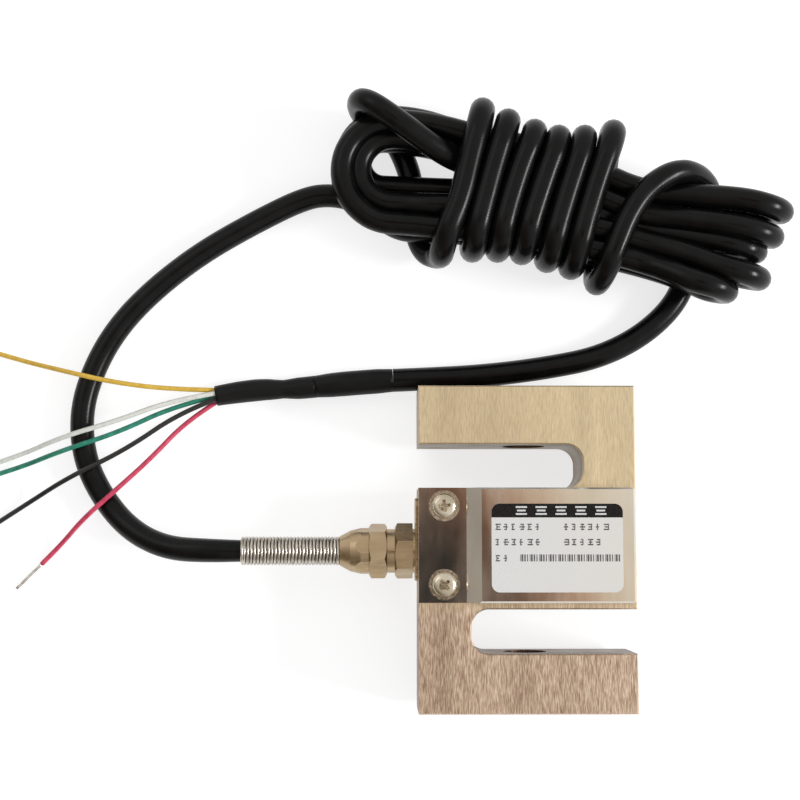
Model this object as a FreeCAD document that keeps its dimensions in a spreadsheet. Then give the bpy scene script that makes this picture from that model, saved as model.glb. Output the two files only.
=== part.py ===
"""S type load cell with its cable tied in a hank, lying on its back.

The frame: the floor is z = 0 and the middle of the S block is x = y = 0. The two threaded
holes that take the load are in line along Y, the cable leaves toward -X, and the front cover
with its label looks up along +Z. Lengths are in millimetres.
"""

import FreeCAD, Part
import math
import os

import Sketcher

SIZES = {
    # how far a cutting outline runs past the metal it cuts
    "run_out": 1.0,
    # S block: a bar across the middle, an arm above and below, a slot between each
    "block_width": 50.8,
    "block_length": 76.2,
    "block_thickness": 19.05,
    "bar_height": 28.2,
    "slot_height": 10.2,
    "slot_depth": 38.5,
    "slot_corner": 4.0,
    "edge_break": 0.3,
    "rest_height": 2.8,
    "load_thread_radius": 5.1,
    "load_thread_mouth": 0.9,
    # gauge pocket through the bar: two round bores that run into each other
    "pocket_radius": 10.5,
    "pocket_half_spacing": 8.0,
    # pressed covers, the same on the front and the back
    "sheet": 0.5,
    "cover_height": 26.6,
    "cover_width": 50.1,
    "cover_left_gap": 0.05,
    "cover_offset": 0.75,
    "cover_flat": 11.1,
    "joggle_run": 3.4,
    "cover_edge_break": 0.4,
    # cover screws and washers
    "screw_inset": 5.95,
    "screw_spacing": 18.2,
    "screw_hole_radius": 1.25,
    "screw_hole_depth": 6.0,
    "screw_clear_radius": 1.6,
    "screw_radius": 1.2,
    "screw_length": 5.5,
    "head_radius": 2.85,
    "head_height": 1.8,
    "head_dome_width": 1.0,
    "head_dome_height": 0.9,
    "recess_length": 3.4,
    "recess_width": 0.8,
    "recess_depth": 1.1,
    "washer_radius": 3.6,
    "washer_thickness": 0.5,
    # label on the raised part of the front cover
    "label_width": 30.4,
    "label_height": 20.4,
    "label_corner": 1.9,
    "label_thickness": 0.12,
    "label_x": 6.6,
    "label_y": 1.1,
    # cable entry and gland, measured outward from the side of the block
    "cable_radius": 2.5,
    "gland_offset": -0.6,
    "entry_plate_width": 14.0,
    "entry_plate_height": 19.4,
    "entry_plate_offset": 2.1,
    "entry_plate_thickness": 0.65,
    "entry_plate_corner": 2.0,
    "entry_thread_radius": 4.0,
    "entry_thread_depth": 5.0,
    "entry_way_radius": 2.85,
    "gland_bore": 2.55,
    "gland_collar_end": 1.2,
    "gland_collar_radius": 5.25,
    "gland_hex_flats": 11.5,
    "hex_chamfer_inset": 0.15,
    "hex_chamfer_reach": 1.65,
    "gland_hex_end": 5.45,
    "gland_neck_end": 7.28,
    "gland_neck_radius": 5.2,
    "gland_thread_radius": 4.6,
    "gland_thread_end": 10.0,
    "seal_radius": 3.7,
    "seal_start": 7.6,
    "seal_gap": 0.02,
    "clamp_washer_end": 10.6,
    "nut_hex_end": 11.6,
    "nose_flats": 10.3,
    "nose_shoulder": 13.5,
    "nose_radius": 5.45,
    "nose_middle": 16.0,
    "nose_middle_radius": 4.85,
    "nose_end": 18.5,
    "nose_end_radius": 3.5,
    "spring_radius": 3.425,
    "spring_turns": 29,
    "spring_wire": 0.81,
    "spring_groove": 0.28,
    "spring_sides": 12,
    "inner_cable_end": 9.0,
    # sensing parts in the pocket
    "gauge_thickness": 0.15,
    "gauge_width": 6.0,
    "gauge_angle": 34.0,
    "fit_gap": 0.05,
    "potting_height": 5.2,
    "board_length": 22.0,
    "board_width": 8.0,
    "board_thickness": 1.2,
    # fine wires in the pocket: from the cable to the board, and from the board to the gauges
    "lead_wire_radius": 0.35,
    "lead_wire_pitch": 0.75,
    "lead_wire_spread": 1.3,
    "lead_wire_straight": 3.4,
    "lead_wire_reach": 7.0,
    "lead_wire_lift": 0.4,
    "gauge_wire_radius": 0.15,
    "gauge_wire_inset": 1.0,
    "gauge_wire_spread": 3.0,
    "gauge_wire_gap": 0.2,
    # tied hank of cable: its middle line is a shallow arc
    "hank_x": 0.0,
    "hank_y": 86.7,
    "hank_heading": -7.6,
    "hank_arc_radius": 405.0,
    "hank_floor": 0.1,
    "hank_corner": 4.6,
    "hank_lobe_gap": 0.4,
    "hank_lobe_height": 20.8,
    # free end of the cable
    "sleeve_outer_radius": 3.07,
    "sleeve_inner_radius": 2.75,
    "wire_radius": 0.6,
    "strand_radius": 0.42,
    "strand_length": 8.5,
    "cord_sides": 8,
    "wire_sides": 5,
}

# The lead from the spring's end down to the floor and round to the hank.
LEAD_ROUTE = [
    (-67.39, -0.6, 12.325), (-75.6, -0.6, 12.325), (-86.0, 0.1, 9.3), (-95.1, 4.5, 5.3),
    (-102.2, 12.3, 2.55), (-107.0, 22.0, 2.55), (-108.0, 33.9, 2.55), (-104.5, 45.4, 2.55),
    (-98.6, 55.4, 2.55), (-90.0, 64.4, 2.55), (-78.8, 73.2, 2.55), (-66.2, 80.6, 2.55),
    (-53.2, 86.0, 2.55), (-41.0, 89.2, 2.7),
]

# The tail from under the hank along the end of the block to the first sleeve.
TAIL_ROUTE = [
    (44.0, 69.4, 2.55), (39.2, 60.6, 2.55), (30.8, 52.6, 2.55), (19.6, 47.5, 2.55),
    (6.4, 45.3, 2.55), (-6.6, 43.8, 2.55), (-19.2, 43.0, 3.12), (-31.2, 42.25, 3.12),
]

# Two heat shrink sleeves, one after the other.
SLEEVE_OUTER_ROUTE = [(-31.2, 42.25, 3.12), (-40.8, 41.65, 3.12), (-50.4, 40.2, 3.12)]
SLEEVE_INNER_ROUTE = [
    (-50.4, 40.2, 3.12), (-56.8, 39.2333, 3.12), (-66.0, 39.0, 2.8), (-74.8, 37.4, 2.8),
]

# Five wires fan out of the sleeve's end, ride over the lead and lie down past it.
WIRE_ROUTES = {
    "yellow": [
        (-73.8, 38.75, 3.4), (-86.0, 38.8, 5.2), (-99.4, 40.3, 6.8), (-111.2, 43.0, 6.8),
        (-125.2, 46.8, 0.65), (-139.0, 51.2, 0.65),
    ],
    "white": [
        (-73.8, 38.1, 4.3), (-85.4, 36.0, 6.2), (-98.6, 30.8, 7.1), (-111.6, 27.0, 7.1),
        (-124.0, 22.4, 0.65), (-136.4, 18.4, 0.65),
    ],
    "green": [
        (-73.8, 37.7, 2.1), (-84.8, 34.8, 4.4), (-98.2, 28.0, 6.9), (-111.8, 23.6, 6.9),
        (-124.0, 19.4, 0.65), (-136.4, 15.8, 0.65),
    ],
    "black": [
        (-73.8, 36.9, 3.5), (-83.0, 33.4, 4.8), (-96.2, 23.8, 7.0), (-109.8, 17.2, 7.0),
        (-121.0, 11.0, 0.65), (-132.0, 3.8, 0.65),
    ],
    "red": [
        (-73.8, 36.6, 2.0), (-81.8, 31.4, 3.2), (-90.2, 21.8, 5.8), (-98.4, 14.0, 7.3),
        (-106.2, 7.0, 7.3), (-112.8, 0.6, 0.75), (-117.2, -3.8, 0.75),
    ],
}

doc = FreeCAD.newDocument("s_type_load_cell")
size = doc.addObject("Spreadsheet::Sheet", "size")
for row, (alias, number) in enumerate(SIZES.items(), start=1):
    size.set(f"A{row}", alias)
    size.set(f"B{row}", str(number))
    size.setAlias(f"B{row}", alias)
doc.recompute()

finished = []


def value(expression):
    """The number that an expression of the sheet's cells gives now."""
    return float(size.evalExpression(expression))


def bind(thing, expressions):
    """Tie properties of a document object to expressions of the sheet's cells."""
    for name, expression in expressions.items():
        thing.setExpression(name, expression)


def new_body(label):
    body = doc.addObject("PartDesign::Body", label)
    body.Label = label
    finished.append(body)
    return body


def sketch_on(body, role, label, offset="0"):
    """A sketch on one of the body's own origin planes, moved along that plane's normal."""
    sketch = body.newObject("Sketcher::SketchObject", label)
    plane = next(item for item in body.Origin.OriginFeatures if item.Role == role)
    sketch.AttachmentSupport = [(plane, "")]
    sketch.MapMode = "FlatFace"
    sketch.setExpression("AttachmentOffset.Base.z", offset)
    return sketch


def hold(sketch, kind, geometry, point, expression):
    """One dimension of a sketch from its origin, bound to the sheet."""
    constraint = Sketcher.Constraint(kind, -1, 1, geometry, point, value(expression))
    sketch.setExpression(f"Constraints[{sketch.addConstraint(constraint)}]", expression)


def outline(sketch, corners):
    """A closed straight-sided outline whose corners are pairs of expressions."""
    places = [FreeCAD.Vector(value(x), value(y), 0) for x, y in corners]
    first = sketch.GeometryCount
    for here, there in zip(places, places[1:] + places[:1]):
        sketch.addGeometry(Part.LineSegment(here, there), False)
    for index, (x, y) in enumerate(corners):
        before = first + (index - 1) % len(corners)
        sketch.addConstraint(Sketcher.Constraint("Coincident", before, 2, first + index, 1))
        hold(sketch, "DistanceX", first + index, 1, x)
        hold(sketch, "DistanceY", first + index, 1, y)


def rectangle(sketch, left, bottom, right, top):
    outline(sketch, [(left, bottom), (right, bottom), (right, top), (left, top)])


def circle(sketch, x, y, radius):
    centre = FreeCAD.Vector(value(x), value(y), 0)
    index = sketch.addGeometry(Part.Circle(centre, FreeCAD.Vector(0, 0, 1), value(radius)), False)
    hold(sketch, "DistanceX", index, 3, x)
    hold(sketch, "DistanceY", index, 3, y)
    constraint = Sketcher.Constraint("Radius", index, value(radius))
    sketch.setExpression(f"Constraints[{sketch.addConstraint(constraint)}]", radius)


def hexagon(sketch, across_flats):
    corner = f"({across_flats}) / (2 * cos(30))"
    outline(
        sketch,
        [(f"{corner} * cos({turn})", f"{corner} * sin({turn})") for turn in range(0, 360, 60)],
    )


def pad(body, sketch, length, symmetric=False, reverse=False):
    feature = body.newObject("PartDesign::Pad", sketch.Label + "_pad")
    feature.Profile = sketch
    feature.SideType = "Symmetric" if symmetric else "One side"
    feature.Reversed = reverse
    feature.setExpression("Length", length)
    doc.recompute()
    return feature


def pocket(body, sketch, depth, symmetric=False, reverse=False):
    """A pocket that must take material away, or the build stops."""
    before = body.Shape.Volume
    feature = body.newObject("PartDesign::Pocket", sketch.Label + "_pocket")
    feature.Profile = sketch
    feature.SideType = "Symmetric" if symmetric else "One side"
    feature.Reversed = reverse
    feature.setExpression("Length", depth)
    doc.recompute()
    if body.Shape.Volume >= before:
        raise RuntimeError(f"{feature.Label} cuts nothing")
    return feature


def turn(body, sketch, axis, cut=False):
    """A revolved boss, or a revolved groove, about one of the sketch's own axes."""
    before = body.Shape.Volume if cut else 0
    kind = "PartDesign::Groove" if cut else "PartDesign::Revolution"
    feature = body.newObject(kind, sketch.Label + "_turn")
    feature.Profile = sketch
    feature.ReferenceAxis = (sketch, [axis])
    feature.Angle = 360
    doc.recompute()
    if cut and body.Shape.Volume >= before:
        raise RuntimeError(f"{feature.Label} cuts nothing")
    return feature


def edges_where(shape, wanted):
    """Names of the edges whose bounding box passes a test."""
    return [
        f"Edge{index}" for index, edge in enumerate(shape.Edges, start=1) if wanted(edge.BoundBox)
    ]


def dress(body, kind, feature, wanted, radius):
    """A fillet or a chamfer on the edges of a feature that pass a test."""
    dressing = body.newObject(f"PartDesign::{kind}", f"{body.Label}_{kind.lower()}")
    dressing.Base = (feature, edges_where(feature.Shape, wanted))
    dressing.setExpression("Radius" if kind == "Fillet" else "Size", radius)
    doc.recompute()
    return dressing


def is_upright(box):
    return box.XLength < 0.01 and box.YLength < 0.01


# ---------------------------------------------------------------- S block

def s_beam_body():
    body = new_body("s_beam_body")
    half_width = "size.block_width / 2"
    half_length = "size.block_length / 2"

    block = sketch_on(body, "XY_Plane", "block_outline")
    rectangle(block, f"-{half_width}", f"-{half_length}", half_width, half_length)
    pad(body, block, "size.block_thickness")

    # Each slot opens on one side and ends near the other, which leaves the S.
    upper = sketch_on(body, "XY_Plane", "upper_slot")
    slot_low = "size.bar_height / 2"
    slot_high = "(size.bar_height / 2 + size.slot_height)"
    rectangle(
        upper, f"-{half_width} - size.run_out", slot_low,
        f"-{half_width} + size.slot_depth", slot_high,
    )
    pocket(body, upper, "size.block_thickness", reverse=True)
    lower = sketch_on(body, "XY_Plane", "lower_slot")
    rectangle(
        lower, f"{half_width} - size.slot_depth", f"-{slot_high}",
        f"{half_width} + size.run_out", f"-{slot_low}",
    )
    slotted = pocket(body, lower, "size.block_thickness", reverse=True)
    slot_end = value("size.slot_depth - size.block_width / 2")
    rounded = dress(
        body, "Fillet", slotted,
        lambda box: is_upright(box) and abs(abs(box.XMin) - slot_end) < 0.01,
        "size.slot_corner",
    )

    # The edges of both flat faces are broken all round.
    thickness = value("size.block_thickness")
    dress(
        body, "Chamfer", rounded,
        lambda box: box.ZLength < 0.01 and min(box.ZMin, thickness - box.ZMax) < 0.01,
        "size.edge_break",
    )

    ends = sketch_on(body, "XY_Plane", "pocket_ends")
    circle(ends, "-size.pocket_half_spacing", "0", "size.pocket_radius")
    pocket(body, ends, "size.block_thickness", reverse=True)
    other = sketch_on(body, "XY_Plane", "pocket_other_end")
    circle(other, "size.pocket_half_spacing", "0", "size.pocket_radius")
    pocket(body, other, "size.block_thickness", reverse=True)

    # A threaded hole through each arm takes the load along Y.
    for name, way in (("top", ""), ("foot", "-")):
        bore = sketch_on(body, "XY_Plane", f"{name}_load_bore", "size.block_thickness / 2")
        inner = f"{way}({slot_high} - size.run_out)"
        outer = f"{way}({half_length} + size.run_out)"
        mouth = f"{way}({half_length} - size.load_thread_mouth)"
        face = f"{way}{half_length}"
        wide = "(size.load_thread_radius + size.load_thread_mouth)"
        outline(bore, [
            ("0", inner), ("size.load_thread_radius", inner),
            ("size.load_thread_radius", mouth), (wide, face), (wide, outer), ("0", outer),
        ])
        turn(body, bore, "V_Axis", cut=True)

    # The cable comes in from the side: a threaded mouth, then a smaller way to the pocket.
    for name, radius, depth in (
        ("entry_thread", "size.entry_thread_radius + size.fit_gap", "size.entry_thread_depth"),
        ("entry_way", "size.entry_way_radius", "size.inner_cable_end"),
    ):
        entry = sketch_on(body, "YZ_Plane", name, f"-{half_width}")
        circle(entry, "size.gland_offset", "size.block_thickness / 2", radius)
        pocket(body, entry, depth, reverse=True)

    for name, level, reverse in (("front", "size.block_thickness", False), ("back", "0", True)):
        for side in ("-", "+"):
            hole = sketch_on(body, "XY_Plane", f"{name}_hole", level)
            circle(
                hole, f"-{half_width} + size.screw_inset",
                f"size.cover_offset {side} size.screw_spacing / 2", "size.screw_hole_radius",
            )
            pocket(body, hole, "size.screw_hole_depth", reverse=reverse)
    body.setExpression("Placement.Base.z", "size.rest_height")


# ---------------------------------------------------------------- covers and their screws

def cover(label, front):
    """A pressed cover: a flat strip under the screws, a joggle, then a raised tray."""
    body = new_body(label)
    left = "(-size.block_width / 2 + size.cover_left_gap)"
    right = f"({left} + size.cover_width)"
    rise = "size.rest_height"
    foot = f"({left} + size.cover_flat)"
    top = f"({foot} + size.joggle_run)"
    slant = f"atan(({rise} - size.sheet) / size.joggle_run)"
    inward = f"size.sheet * tan({slant} / 2)"

    section = sketch_on(body, "XZ_Plane", f"{label}_section")
    outline(section, [
        (left, "0"), (right, "0"), (right, rise), (top, rise), (foot, "size.sheet"),
        (left, "size.sheet"),
    ])
    raised = pad(body, section, "size.cover_height", symmetric=True)
    rise_now = value(rise)
    half_height = value("size.cover_height / 2")
    dress(
        body, "Chamfer", raised,
        lambda box: (
            box.ZMax > rise_now - 0.01
            and (abs(box.YMin) > half_height - 0.01 and box.YLength < 0.01 and box.XLength > 5
                 or box.XMin > value(right) - 0.01)
        ),
        "size.cover_edge_break",
    )
    hollow = sketch_on(body, "XZ_Plane", f"{label}_hollow")
    outline(hollow, [
        (f"{foot} + {inward}", "0"), (f"{right} - size.sheet", "0"),
        (f"{right} - size.sheet", f"{rise} - size.sheet"),
        (f"{top} + {inward}", f"{rise} - size.sheet"),
    ])
    pocket(body, hollow, "size.cover_height - 2 * size.sheet", symmetric=True)
    for side in ("-", ""):
        hole = sketch_on(body, "XY_Plane", f"{label}_screw_hole")
        circle(
            hole, "-size.block_width / 2 + size.screw_inset", f"{side}size.screw_spacing / 2",
            "size.screw_clear_radius",
        )
        pocket(body, hole, "size.sheet", reverse=True)
    if not front:
        body.Placement.Rotation = FreeCAD.Rotation(FreeCAD.Vector(1, 0, 0), 180)
    seat = "size.rest_height" + (" + size.block_thickness" if front else "")
    bind(body, {"Placement.Base.y": "size.cover_offset", "Placement.Base.z": seat})


def washer(label, x, y, z):
    body = new_body(label)
    ring = sketch_on(body, "XY_Plane", f"{label}_ring")
    circle(ring, "0", "0", "size.washer_radius")
    circle(ring, "0", "0", "size.screw_clear_radius")
    pad(body, ring, "size.washer_thickness")
    bind(body, {"Placement.Base.x": x, "Placement.Base.y": y, "Placement.Base.z": z})


def screw(label, x, y, z, facing, angle):
    """A pan head screw with a cross recess; facing is +1 up and -1 down."""
    body = new_body(label)
    half = sketch_on(body, "XZ_Plane", f"{label}_section")
    outline(half, [
        ("0", "-size.screw_length"), ("size.screw_radius", "-size.screw_length"),
        ("size.screw_radius", "0"), ("size.head_radius", "0"),
        ("size.head_radius", "size.head_height - size.head_dome_height"),
        ("size.head_radius - size.head_dome_width", "size.head_height"), ("0", "size.head_height"),
    ])
    turn(body, half, "V_Axis")
    long_way = "size.recess_length / 2"
    short_way = "size.recess_width / 2"
    arms = (("along", long_way, short_way), ("across", short_way, long_way))
    for name, x_reach, y_reach in arms:
        recess = sketch_on(body, "XY_Plane", f"{label}_recess_{name}", "size.head_height")
        rectangle(recess, f"-{x_reach}", f"-{y_reach}", x_reach, y_reach)
        pocket(body, recess, "size.recess_depth")
    upright = FreeCAD.Rotation(FreeCAD.Vector(0, 0, 1), angle)
    over = FreeCAD.Rotation(FreeCAD.Vector(1, 0, 0), 0 if facing > 0 else 180)
    body.Placement.Rotation = over.multiply(upright)
    bind(body, {"Placement.Base.x": x, "Placement.Base.y": y, "Placement.Base.z": z})


def covers():
    cover("front_cover", True)
    cover("back_cover", False)
    x = "-size.block_width / 2 + size.screw_inset"
    angles = {
        ("front", "upper"): 6, ("front", "lower"): 42, ("back", "upper"): 20, ("back", "lower"): 71,
    }
    for (face, level), angle in angles.items():
        y = f"size.cover_offset {'+' if level == 'upper' else '-'} size.screw_spacing / 2"
        if face == "front":
            seat = "size.rest_height + size.block_thickness + size.sheet"
            washer(f"front_washer_{level}", x, y, seat)
            screw(f"front_cover_screw_{level}", x, y, f"{seat} + size.washer_thickness", 1, angle)
        else:
            seat = "size.rest_height - size.sheet - size.washer_thickness"
            washer(f"back_washer_{level}", x, y, seat)
            screw(f"back_cover_screw_{level}", x, y, seat, -1, angle)


def front_label():
    body = new_body("front_label")
    sticker = sketch_on(body, "XY_Plane", "sticker")
    rectangle(
        sticker, "-size.label_width / 2", "-size.label_height / 2",
        "size.label_width / 2", "size.label_height / 2",
    )
    sheet = pad(body, sticker, "size.label_thickness")
    dress(body, "Fillet", sheet, lambda box: is_upright(box), "size.label_corner")
    bind(body, {
        "Placement.Base.x": "size.label_x",
        "Placement.Base.y": "size.label_y",
        "Placement.Base.z": "size.rest_height + size.block_thickness + size.rest_height",
    })


# ---------------------------------------------------------------- cable entry

def place_on_gland_axis(body, spin=0.0):
    """Turn a piece that is modelled outward along +X so that it points out of the block's side."""
    about_x = FreeCAD.Rotation(FreeCAD.Vector(1, 0, 0), spin)
    outward = FreeCAD.Rotation(FreeCAD.Vector(0, 0, 1), 180)
    body.Placement.Rotation = outward.multiply(about_x)
    bind(body, {
        "Placement.Base.x": "-size.block_width / 2",
        "Placement.Base.y": "size.gland_offset",
        "Placement.Base.z": "size.rest_height + size.block_thickness / 2",
    })


def cable_entry_plate():
    body = new_body("cable_entry_plate")
    face = sketch_on(body, "YZ_Plane", "entry_plate_face")
    half_width = "size.entry_plate_width / 2"
    low = "size.entry_plate_offset - size.gland_offset - size.entry_plate_height / 2"
    high = "size.entry_plate_offset - size.gland_offset + size.entry_plate_height / 2"
    rectangle(face, f"-({high})", f"-{half_width}", f"-({low})", half_width)
    plate = pad(body, face, "size.entry_plate_thickness")
    rounded = dress(
        body, "Fillet", plate,
        lambda box: box.YLength < 0.01 and box.ZLength < 0.01, "size.entry_plate_corner",
    )
    hole = sketch_on(body, "YZ_Plane", "entry_plate_hole")
    circle(hole, "0", "0", "size.entry_thread_radius + size.fit_gap")
    pocket(body, hole, "size.entry_plate_thickness", reverse=True)
    place_on_gland_axis(body)


def chamfer_hex(body, name, face, inward):
    """Turn the corners of the gland's hexagon down at 30 degrees at one of its end faces."""
    inside = "(size.gland_hex_flats / 2 - size.hex_chamfer_inset)"
    beyond = f"({inside} + size.hex_chamfer_reach)"
    cut = sketch_on(body, "XZ_Plane", f"{name}_chamfer")
    outline(cut, [
        (face, inside), (face, beyond),
        (f"{face} {inward} size.hex_chamfer_reach * tan(30)", beyond),
    ])
    turn(body, cut, "H_Axis", cut=True)


def gland_body():
    body = new_body("gland_body")
    hexagonal = sketch_on(body, "YZ_Plane", "gland_hex", "size.gland_collar_end")
    hexagon(hexagonal, "size.gland_hex_flats")
    pad(body, hexagonal, "size.gland_hex_end - size.gland_collar_end")
    chamfer_hex(body, "gland_hex", "size.gland_hex_end", "-")
    turned = sketch_on(body, "XZ_Plane", "gland_turned")
    outline(turned, [
        ("-size.entry_thread_depth", "0"), ("-size.entry_thread_depth", "size.entry_thread_radius"),
        ("size.entry_plate_thickness", "size.entry_thread_radius"),
        ("size.entry_plate_thickness", "size.gland_collar_radius"),
        ("size.gland_collar_end", "size.gland_collar_radius"),
        ("size.gland_hex_end", "size.gland_collar_radius"),
        ("size.gland_hex_end", "size.gland_neck_radius"),
        ("size.gland_neck_end", "size.gland_neck_radius"),
        ("size.gland_neck_end", "size.gland_thread_radius"),
        ("size.gland_thread_end", "size.gland_thread_radius"), ("size.gland_thread_end", "0"),
    ])
    turn(body, turned, "H_Axis")
    bore = sketch_on(body, "XZ_Plane", "gland_bore_section")
    outline(bore, [
        ("-size.entry_thread_depth - size.run_out", "0"),
        ("-size.entry_thread_depth - size.run_out", "size.gland_bore"),
        ("size.seal_start", "size.gland_bore"), ("size.seal_start", "size.seal_radius"),
        ("size.gland_thread_end + size.run_out", "size.seal_radius"),
        ("size.gland_thread_end + size.run_out", "0"),
    ])
    turn(body, bore, "H_Axis", cut=True)
    place_on_gland_axis(body, spin=-9.0)


def gland_nut():
    """The nut and its nose are one turned piece; the nose keeps the flats of its bar."""
    body = new_body("gland_nut")
    wide = sketch_on(body, "YZ_Plane", "nut_hex", "size.gland_neck_end")
    hexagon(wide, "size.gland_hex_flats")
    pad(body, wide, "size.nut_hex_end - size.gland_neck_end")
    chamfer_hex(body, "nut_hex_outer", "size.nut_hex_end", "-")
    chamfer_hex(body, "nut_hex_inner", "size.gland_neck_end", "+")
    narrow = sketch_on(body, "YZ_Plane", "nose_hex", "size.nut_hex_end")
    hexagon(narrow, "size.nose_flats")
    pad(body, narrow, "size.nose_end - size.nut_hex_end")
    ogive = sketch_on(body, "XZ_Plane", "nose_ogive")
    outline(ogive, [
        ("size.nut_hex_end", "size.nose_radius"), ("size.nose_shoulder", "size.nose_radius"),
        ("size.nose_middle", "size.nose_middle_radius"), ("size.nose_end", "size.nose_end_radius"),
        ("size.nose_end + size.run_out", "size.nose_end_radius"),
        ("size.nose_end + size.run_out", "size.nose_radius + size.run_out"),
        ("size.nut_hex_end", "size.nose_radius + size.run_out"),
    ])
    turn(body, ogive, "H_Axis", cut=True)
    bore = sketch_on(body, "XZ_Plane", "nut_bore_section")
    thread = "size.gland_thread_radius + size.fit_gap"
    outline(bore, [
        ("size.gland_neck_end - size.run_out", "0"),
        ("size.gland_neck_end - size.run_out", thread),
        ("size.clamp_washer_end", thread), ("size.clamp_washer_end", "size.gland_bore"),
        ("size.nose_end + size.run_out", "size.gland_bore"),
        ("size.nose_end + size.run_out", "0"),
    ])
    turn(body, bore, "H_Axis", cut=True)
    place_on_gland_axis(body, spin=12.7)


def ring(label, start, end, outer):
    """A plain ring on the gland's axis with the cable's bore."""
    body = new_body(label)
    face = sketch_on(body, "YZ_Plane", f"{label}_face", start)
    circle(face, "0", "0", outer)
    circle(face, "0", "0", "size.gland_bore")
    pad(body, face, f"{end} - {start}")
    place_on_gland_axis(body)


def strain_relief_spring():
    """A closed coil spring: one ridge for each turn of its wire, drawn as many-sided rings."""
    turns = SIZES["spring_turns"]
    across = FreeCAD.Rotation(FreeCAD.Vector(0, 1, 0), -90)
    rings = []
    for step in range(2 * turns + 1):
        ring = doc.addObject("Part::RegularPolygon", f"spring_ring_{step}")
        ring.Placement.Rotation = across
        on_ridge = step % 2 == 1
        bind(ring, {
            "Polygon": "size.spring_sides",
            "Circumradius": "size.spring_radius" + ("" if on_ridge else " - size.spring_groove"),
            "Placement.Base.x": (
                f"-size.block_width / 2 - size.nose_end - {step} / 2 * size.spring_wire"
            ),
            "Placement.Base.y": "size.gland_offset",
            "Placement.Base.z": "size.rest_height + size.block_thickness / 2",
        })
        rings.append(ring)
    ridged = doc.addObject("Part::Loft", "spring_ridges")
    ridged.Sections = rings
    ridged.Solid = True
    ridged.Ruled = True
    inside = doc.addObject("Part::Prism", "spring_inside")
    inside.Placement.Rotation = across
    bind(inside, {
        "Polygon": "size.spring_sides",
        "Circumradius": "size.gland_bore / cos(180 / size.spring_sides)",
        "Height": "size.spring_turns * size.spring_wire",
        "Placement.Base.x": "-size.block_width / 2 - size.nose_end",
        "Placement.Base.y": "size.gland_offset",
        "Placement.Base.z": "size.rest_height + size.block_thickness / 2",
    })
    spring = doc.addObject("Part::Cut", "strain_relief_spring")
    spring.Label = "strain_relief_spring"
    spring.Base = ridged
    spring.Tool = inside
    finished.append(spring)


def cable_in_gland():
    body = new_body("cable_in_gland")
    face = sketch_on(body, "YZ_Plane", "inner_cable_face", "-size.inner_cable_end")
    circle(face, "0", "0", "size.cable_radius")
    pad(
        body, face,
        "size.inner_cable_end + size.nose_end + size.spring_turns * size.spring_wire",
    )
    place_on_gland_axis(body)


# ---------------------------------------------------------------- sensing parts

def strain_gauge(label, side, above):
    """A foil gauge bonded to the round end of the pocket, where the bar is thinnest."""
    outer = doc.addObject("Part::Cylinder", f"{label}_outer")
    inner = doc.addObject("Part::Cylinder", f"{label}_inner")
    first = ("" if above else "-") + "90 - size.gauge_angle / 2"
    for cylinder, radius in (
        (outer, "size.pocket_radius - size.fit_gap"),
        (inner, "size.pocket_radius - size.fit_gap - size.gauge_thickness"),
    ):
        cylinder.Placement.Rotation = FreeCAD.Rotation(FreeCAD.Vector(0, 0, 1), value(first))
        bind(cylinder, {
            "Radius": radius,
            "Height": "size.gauge_width",
            "Angle": "size.gauge_angle",
            "Placement.Base.x": f"{side} * size.pocket_half_spacing",
            "Placement.Base.z": "size.rest_height + (size.block_thickness - size.gauge_width) / 2",
        })
    foil = doc.addObject("Part::Cut", label)
    foil.Label = label
    foil.Base = outer
    foil.Tool = inner
    finished.append(foil)


def silicone_potting():
    """The sealing compound poured into the back of the pocket."""
    body = new_body("silicone_potting")
    radius = "size.pocket_radius - size.fit_gap"
    half = "size.pocket_half_spacing"
    first = sketch_on(body, "XY_Plane", "potting_left")
    circle(first, f"-{half}", "0", radius)
    pad(body, first, "size.potting_height")
    second = sketch_on(body, "XY_Plane", "potting_right")
    circle(second, half, "0", radius)
    pad(body, second, "size.potting_height")
    body.setExpression("Placement.Base.z", "size.rest_height")


def terminal_board():
    board = doc.addObject("Part::Box", "terminal_board")
    board.Label = "terminal_board"
    bind(board, {
        "Length": "size.board_length",
        "Width": "size.board_width",
        "Height": "size.board_thickness",
        "Placement.Base.x": "-size.board_length / 2",
        "Placement.Base.y": "-size.board_width / 2",
        "Placement.Base.z": "size.rest_height + size.potting_height",
    })
    finished.append(board)


def feature_from(label, shape):
    """A finished piece whose shape this script worked out itself."""
    feature = doc.addObject("Part::Feature", label)
    feature.Label = label
    feature.Shape = shape
    finished.append(feature)
    return feature


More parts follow.
